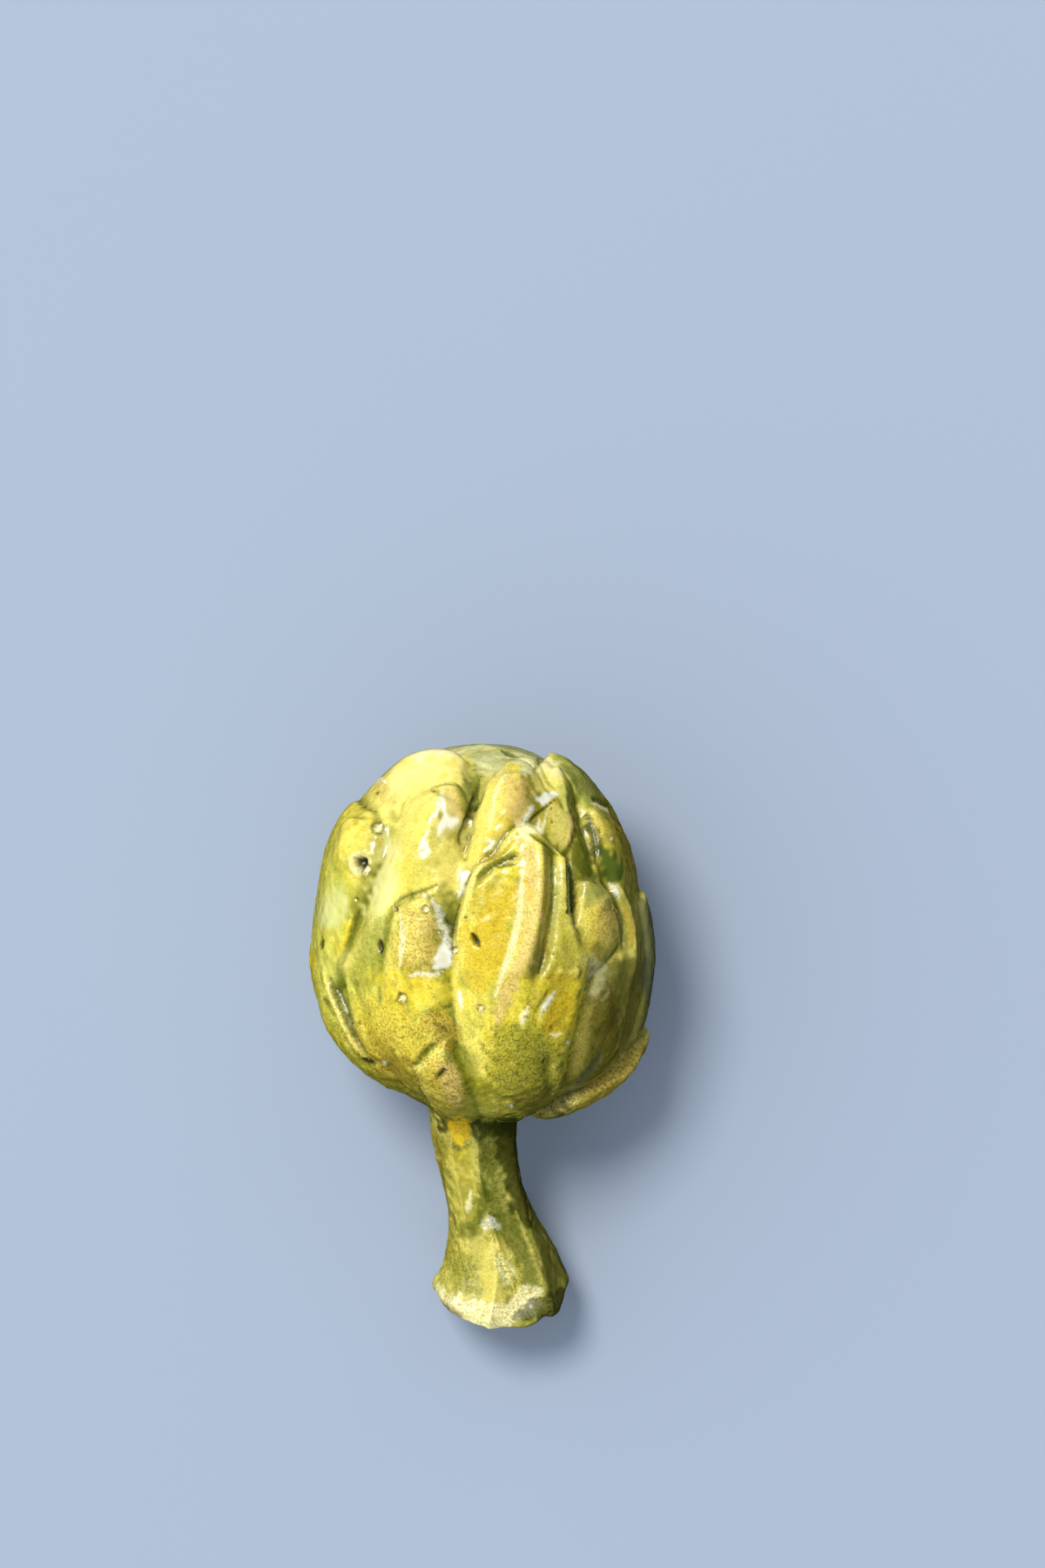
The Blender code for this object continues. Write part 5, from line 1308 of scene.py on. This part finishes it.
def press_back_pits(surface):
    """Scattered holes on the sides that the photograph doesn't show."""
    disorder = np.random.default_rng(BACK_PIT_SEED)
    points = surface.points / MM
    for _ in range(BACK_PITS):
        azimuth, reach = disorder.uniform(*BACK_PIT_AZIMUTHS), disorder.uniform(*BACK_PIT_REACHES)
        radius, blister = disorder.uniform(*BACK_PIT_RADII), disorder.random() < BACK_BLISTER_SHARE
        column = int((azimuth + 180.0) % 360.0 / 360.0 * GRID_COLUMNS)
        row = np.searchsorted(surface.rows, reach)
        away = np.linalg.norm(points - points[row, column], axis=-1)
        spots = away < PIT_MARGIN * radius
        depth = BACK_PIT_DEPTH * (1.0 + radius)
        kind = BACK_BLISTER if blister else BACK_HOLE
        surface.press(spots, away[spots] / radius, depth, BACK_PIT_LIP, kind)


def ring_azimuths(radius):
    """Azimuths of one ring's vertices: close together in front, further apart behind."""
    fine = np.linspace(-180.0, 180.0, RING_AZIMUTHS)
    behind = smoothstep(*FRONT_AZIMUTHS, np.abs(fine))
    step = FRONT_STEP + (BACK_STEP - FRONT_STEP) * behind
    count = np.concatenate([[0.0], np.cumsum(radius * math.radians(RING_TURN) / step[:-1])])
    number = max(int(round(count[-1])), LEAST_RING)
    return np.interp(np.arange(number) / number * count[-1], count, fine)


def joined_rings(first, second, first_start, second_start):
    """Triangles between two rings whose vertices lie at different azimuths."""
    events = np.concatenate([np.append(first[1:], 180.0), np.append(second[1:], 180.0)])
    from_first = np.arange(len(events)) < len(first)
    order = np.argsort(events, kind="stable")
    from_first = from_first[order]
    done_first = np.cumsum(from_first)
    done_second = np.cumsum(~from_first)
    a_old = (done_first - from_first) % len(first) + first_start
    a_new = done_first % len(first) + first_start
    b_old = (done_second - ~from_first) % len(second) + second_start
    b_new = done_second % len(second) + second_start
    upper = np.stack([a_old, b_old, a_new], -1)[from_first]
    lower = np.stack([a_old, b_old, b_new], -1)[~from_first]
    return np.concatenate([upper, lower])


def body_mesh(surface):
    """A closed mesh with vertices about evenly spaced on each side."""
    columns = GRID_COLUMNS
    final = surface.points + surface.normals * (surface.lift * surface.fade * MM)[..., None]
    final = np.clip(final, *cad_box)
    values = np.concatenate([final, surface.colour, surface.grain[..., None]], -1)
    wrapped = np.concatenate([values, values[:, :1]], axis=1)
    wrapped_azimuths = np.append(surface.azimuths, 180.0)
    rings = []
    found = [values[:1, 0]]
    triangles = []
    start = 1
    for row in range(1, len(surface.rows) - 1):
        radius = max(surface.profile.radius(surface.rows[row]), 1.0)
        azimuths = ring_azimuths(radius + RING_HEIGHT)
        place = np.interp(azimuths, wrapped_azimuths, np.arange(columns + 1))
        low = np.minimum(place.astype(int), columns - 1)
        share = (place - low)[:, None]
        found.append(wrapped[row, low] * (1.0 - share) + wrapped[row, low + 1] * share)
        if rings:
            triangles.append(joined_rings(rings[-1], azimuths, start - len(rings[-1]), start))
        else:
            ring = np.arange(len(azimuths))
            triangles.append(np.stack([0 * ring, start + ring, start + (ring + 1) % len(ring)], -1))
        rings.append(azimuths)
        start += len(azimuths)
    ring = np.arange(len(rings[-1]))
    first = start - len(ring)
    triangles.append(np.stack([0 * ring + start, first + (ring + 1) % len(ring), first + ring], -1))
    found.append(values[-1:, 0])
    found = np.concatenate(found)
    triangles = np.concatenate(triangles)
    mesh = bpy.data.meshes.new("artichoke_glazed")
    mesh.from_pydata(found[:, :3], [], triangles.tolist())
    # The glaze colour, with the painted shade and highlights in it, goes on the vertices.
    glaze = mesh.color_attributes.new("glaze", "FLOAT_COLOR", "POINT")
    glaze.data.foreach_set("color", np.append(found[:, 3:6], np.ones((len(found), 1)), axis=1).ravel())
    grain = mesh.attributes.new("grain", "FLOAT", "POINT")
    grain.data.foreach_set("value", np.clip(found[:, 6], 0.0, 1.0))
    mesh.validate()
    mesh.shade_smooth()
    print("triangles", len(mesh.polygons))
    return mesh


class NodeTree:
    """Short calls for building a material's nodes."""

    def __init__(self, material):
        material.use_nodes = True
        self.tree = material.node_tree
        self.shader = self.tree.nodes["Principled BSDF"]

    def add(self, kind, settings=(), **sockets):
        node = self.tree.nodes.new(kind)
        for name, value in dict(settings).items():
            setattr(node, name, value)
        for name, value in sockets.items():
            self.feed(node.inputs[name.replace("_", " ")], value)
        return node

    def feed(self, socket, value):
        if isinstance(value, bpy.types.NodeSocket):
            self.tree.links.new(value, socket)
        else:
            socket.default_value = value

    def noise(self, where, size, detail=3.0, roughness=0.55):
        """Noise whose features are about the given size, in metres."""
        scale = 1.0 / size
        return self.add("ShaderNodeTexNoise", Vector=where, Scale=scale, Detail=detail, Roughness=roughness)

    def ramp(self, value, low, high, to_low=0.0, to_high=1.0):
        node = self.add("ShaderNodeMapRange", {"clamp": True}, Value=value)
        for name, number in zip(("From Min", "From Max", "To Min", "To Max"), (low, high, to_low, to_high)):
            node.inputs[name].default_value = number
        return node.outputs["Result"]

    def maths(self, operation, first, second):
        node = self.add("ShaderNodeMath", {"operation": operation})
        self.feed(node.inputs[0], first)
        self.feed(node.inputs[1], second)
        return node.outputs["Value"]

    def tinted(self, share, colour, tint):
        """The colour multiplied by a tint, by a share at each place."""
        node = self.add("ShaderNodeMix", {"data_type": "RGBA", "blend_type": "MULTIPLY"})
        self.feed(node.inputs["Factor"], share)
        self.feed(node.inputs[MIX_FIRST], colour)
        self.feed(node.inputs[MIX_SECOND], (*tint, 1.0))
        return node.outputs[MIX_RESULT]


def glaze_material():
    material = bpy.data.materials.new("glazed_ceramic_looks")
    nodes = NodeTree(material)
    where = nodes.add("ShaderNodeTexCoord").outputs["Object"]
    colour = nodes.add("ShaderNodeAttribute", {"attribute_name": "glaze"}).outputs["Color"]
    grain = nodes.add("ShaderNodeAttribute", {"attribute_name": "grain"}).outputs["Fac"]
    fine = nodes.noise(where, FINE_SIZE, detail=4.0, roughness=0.7).outputs["Fac"]
    finer = nodes.noise(where, FINER_SIZE, detail=2.0, roughness=0.6).outputs["Fac"]
    cloud = nodes.noise(where, CLOUD_SIZE, detail=5.0, roughness=0.6).outputs["Fac"]
    dark_specks = nodes.maths("MULTIPLY", nodes.ramp(fine, *DARK_SPAN), grain)
    pale_specks = nodes.maths("MULTIPLY", nodes.ramp(finer, *PALE_SPAN), grain)
    clouded = nodes.tinted(nodes.ramp(cloud, *CLOUD_SPAN, 0.0, CLOUD_SHARE), colour, CLOUD_TINT)
    paled = nodes.tinted(pale_specks, clouded, PALE_TINT)
    specked = nodes.tinted(dark_specks, paled, DARK_TINT)
    nodes.feed(nodes.shader.inputs["Base Color"], specked)
    added = nodes.maths("MULTIPLY", grain, GRAIN_ROUGHNESS)
    nodes.feed(nodes.shader.inputs["Roughness"], nodes.maths("ADD", added, ROUGHNESS))
    nodes.shader.inputs["Specular IOR Level"].default_value = SPECULAR
    gloss = nodes.maths("SUBTRACT", COAT, nodes.maths("MULTIPLY", grain, GRAIN_COAT_LOSS))
    nodes.feed(nodes.shader.inputs["Coat Weight"], gloss)
    nodes.shader.inputs["Coat Roughness"].default_value = COAT_ROUGHNESS
    grained = nodes.maths("MULTIPLY", fine, grain)
    rough = nodes.add("ShaderNodeBump", Height=grained, **GRAIN_BUMP)
    wavy = nodes.noise(where, WAVY_SIZE, detail=1.0).outputs["Fac"]
    smooth = nodes.add("ShaderNodeBump", Height=wavy, Normal=rough.outputs["Normal"], **WAVY_BUMP)
    nodes.feed(nodes.shader.inputs["Normal"], smooth.outputs["Normal"])
    coat = nodes.add("ShaderNodeBump", Height=wavy, **COAT_BUMP)
    nodes.feed(nodes.shader.inputs["Coat Normal"], coat.outputs["Normal"])
    return material


def floor_material():
    material = bpy.data.materials.new("floor_looks")
    nodes = NodeTree(material)
    nodes.shader.inputs["Base Color"].default_value = FLOOR_COLOUR
    nodes.shader.inputs["Roughness"].default_value = FLOOR_ROUGHNESS
    return material


def make_artichoke():
    surface = Surface()
    lay_base_glaze(surface)
    roughen(surface)
    pool_glaze_and_paint_shading(surface)
    paint_patches(surface)
    draw_lines(surface)
    press_pits(surface)
    press_back_pits(surface)
    mesh = body_mesh(surface)
    mesh.materials.append(glaze_material())
    piece = bpy.data.objects.new("artichoke_glazed", mesh)
    bpy.context.scene.collection.objects.link(piece)
    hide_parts("artichoke")
    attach(piece, "root")


def make_floor():
    half = FLOOR_HALF
    mesh = bpy.data.meshes.new("floor")
    corners = [(-half, -half, 0), (half, -half, 0), (half, half, 0), (-half, half, 0)]
    mesh.from_pydata(corners, [], [(0, 1, 2, 3)])
    mesh.materials.append(floor_material())
    floor = bpy.data.objects.new("floor", mesh)
    bpy.context.scene.collection.objects.link(floor)
    floor.visible_glossy = False


def make_light(name, place, size, power, tint):
    light = bpy.data.lights.new(name, "AREA")
    light.shape = "DISK"
    light.size = size
    light.energy = power
    light.color = tint
    lamp = bpy.data.objects.new(name, light)
    lamp.location = place
    lamp.rotation_euler = Vector(place).to_track_quat("Z", "Y").to_euler()
    bpy.context.scene.collection.objects.link(lamp)


def light_scene():
    make_light("key_light", KEY_PLACE, KEY_SIZE, KEY_POWER, KEY_COLOUR)
    world = bpy.data.worlds.new("studio")
    world.use_nodes = True
    tree = world.node_tree
    direction = tree.nodes.new("ShaderNodeTexCoord")
    parts = tree.nodes.new("ShaderNodeSeparateXYZ")
    tree.links.new(direction.outputs["Generated"], parts.inputs[0])
    fall = tree.nodes.new("ShaderNodeMapRange")
    for socket, number in zip(("From Min", "From Max", "To Min", "To Max"), SKY_SPAN + SKY_STRENGTHS):
        fall.inputs[socket].default_value = number
    tree.links.new(parts.outputs["X"], fall.inputs["Value"])
    background = tree.nodes["Background"]
    background.inputs["Color"].default_value = SKY_COLOUR
    tree.links.new(fall.outputs["Result"], background.inputs["Strength"])
    world.cycles_visibility.glossy = False
    bpy.context.scene.world = world


def place_camera():
    camera = bpy.data.cameras.new("camera")
    camera.sensor_width = SENSOR
    camera.lens = SENSOR * (CAMERA_PLACE[2] - SCALE_HEIGHT) / (IMAGE_SIZE[1] * PIXEL_SIZE * MM)
    camera.clip_end = CAMERA_CLIP
    holder = bpy.data.objects.new("camera", camera)
    holder.location = CAMERA_PLACE
    bpy.context.scene.collection.objects.link(holder)
    bpy.context.scene.camera = holder


make_artichoke()
make_floor()
light_scene()
place_camera()
bpy.context.scene.view_settings.view_transform = "Standard"
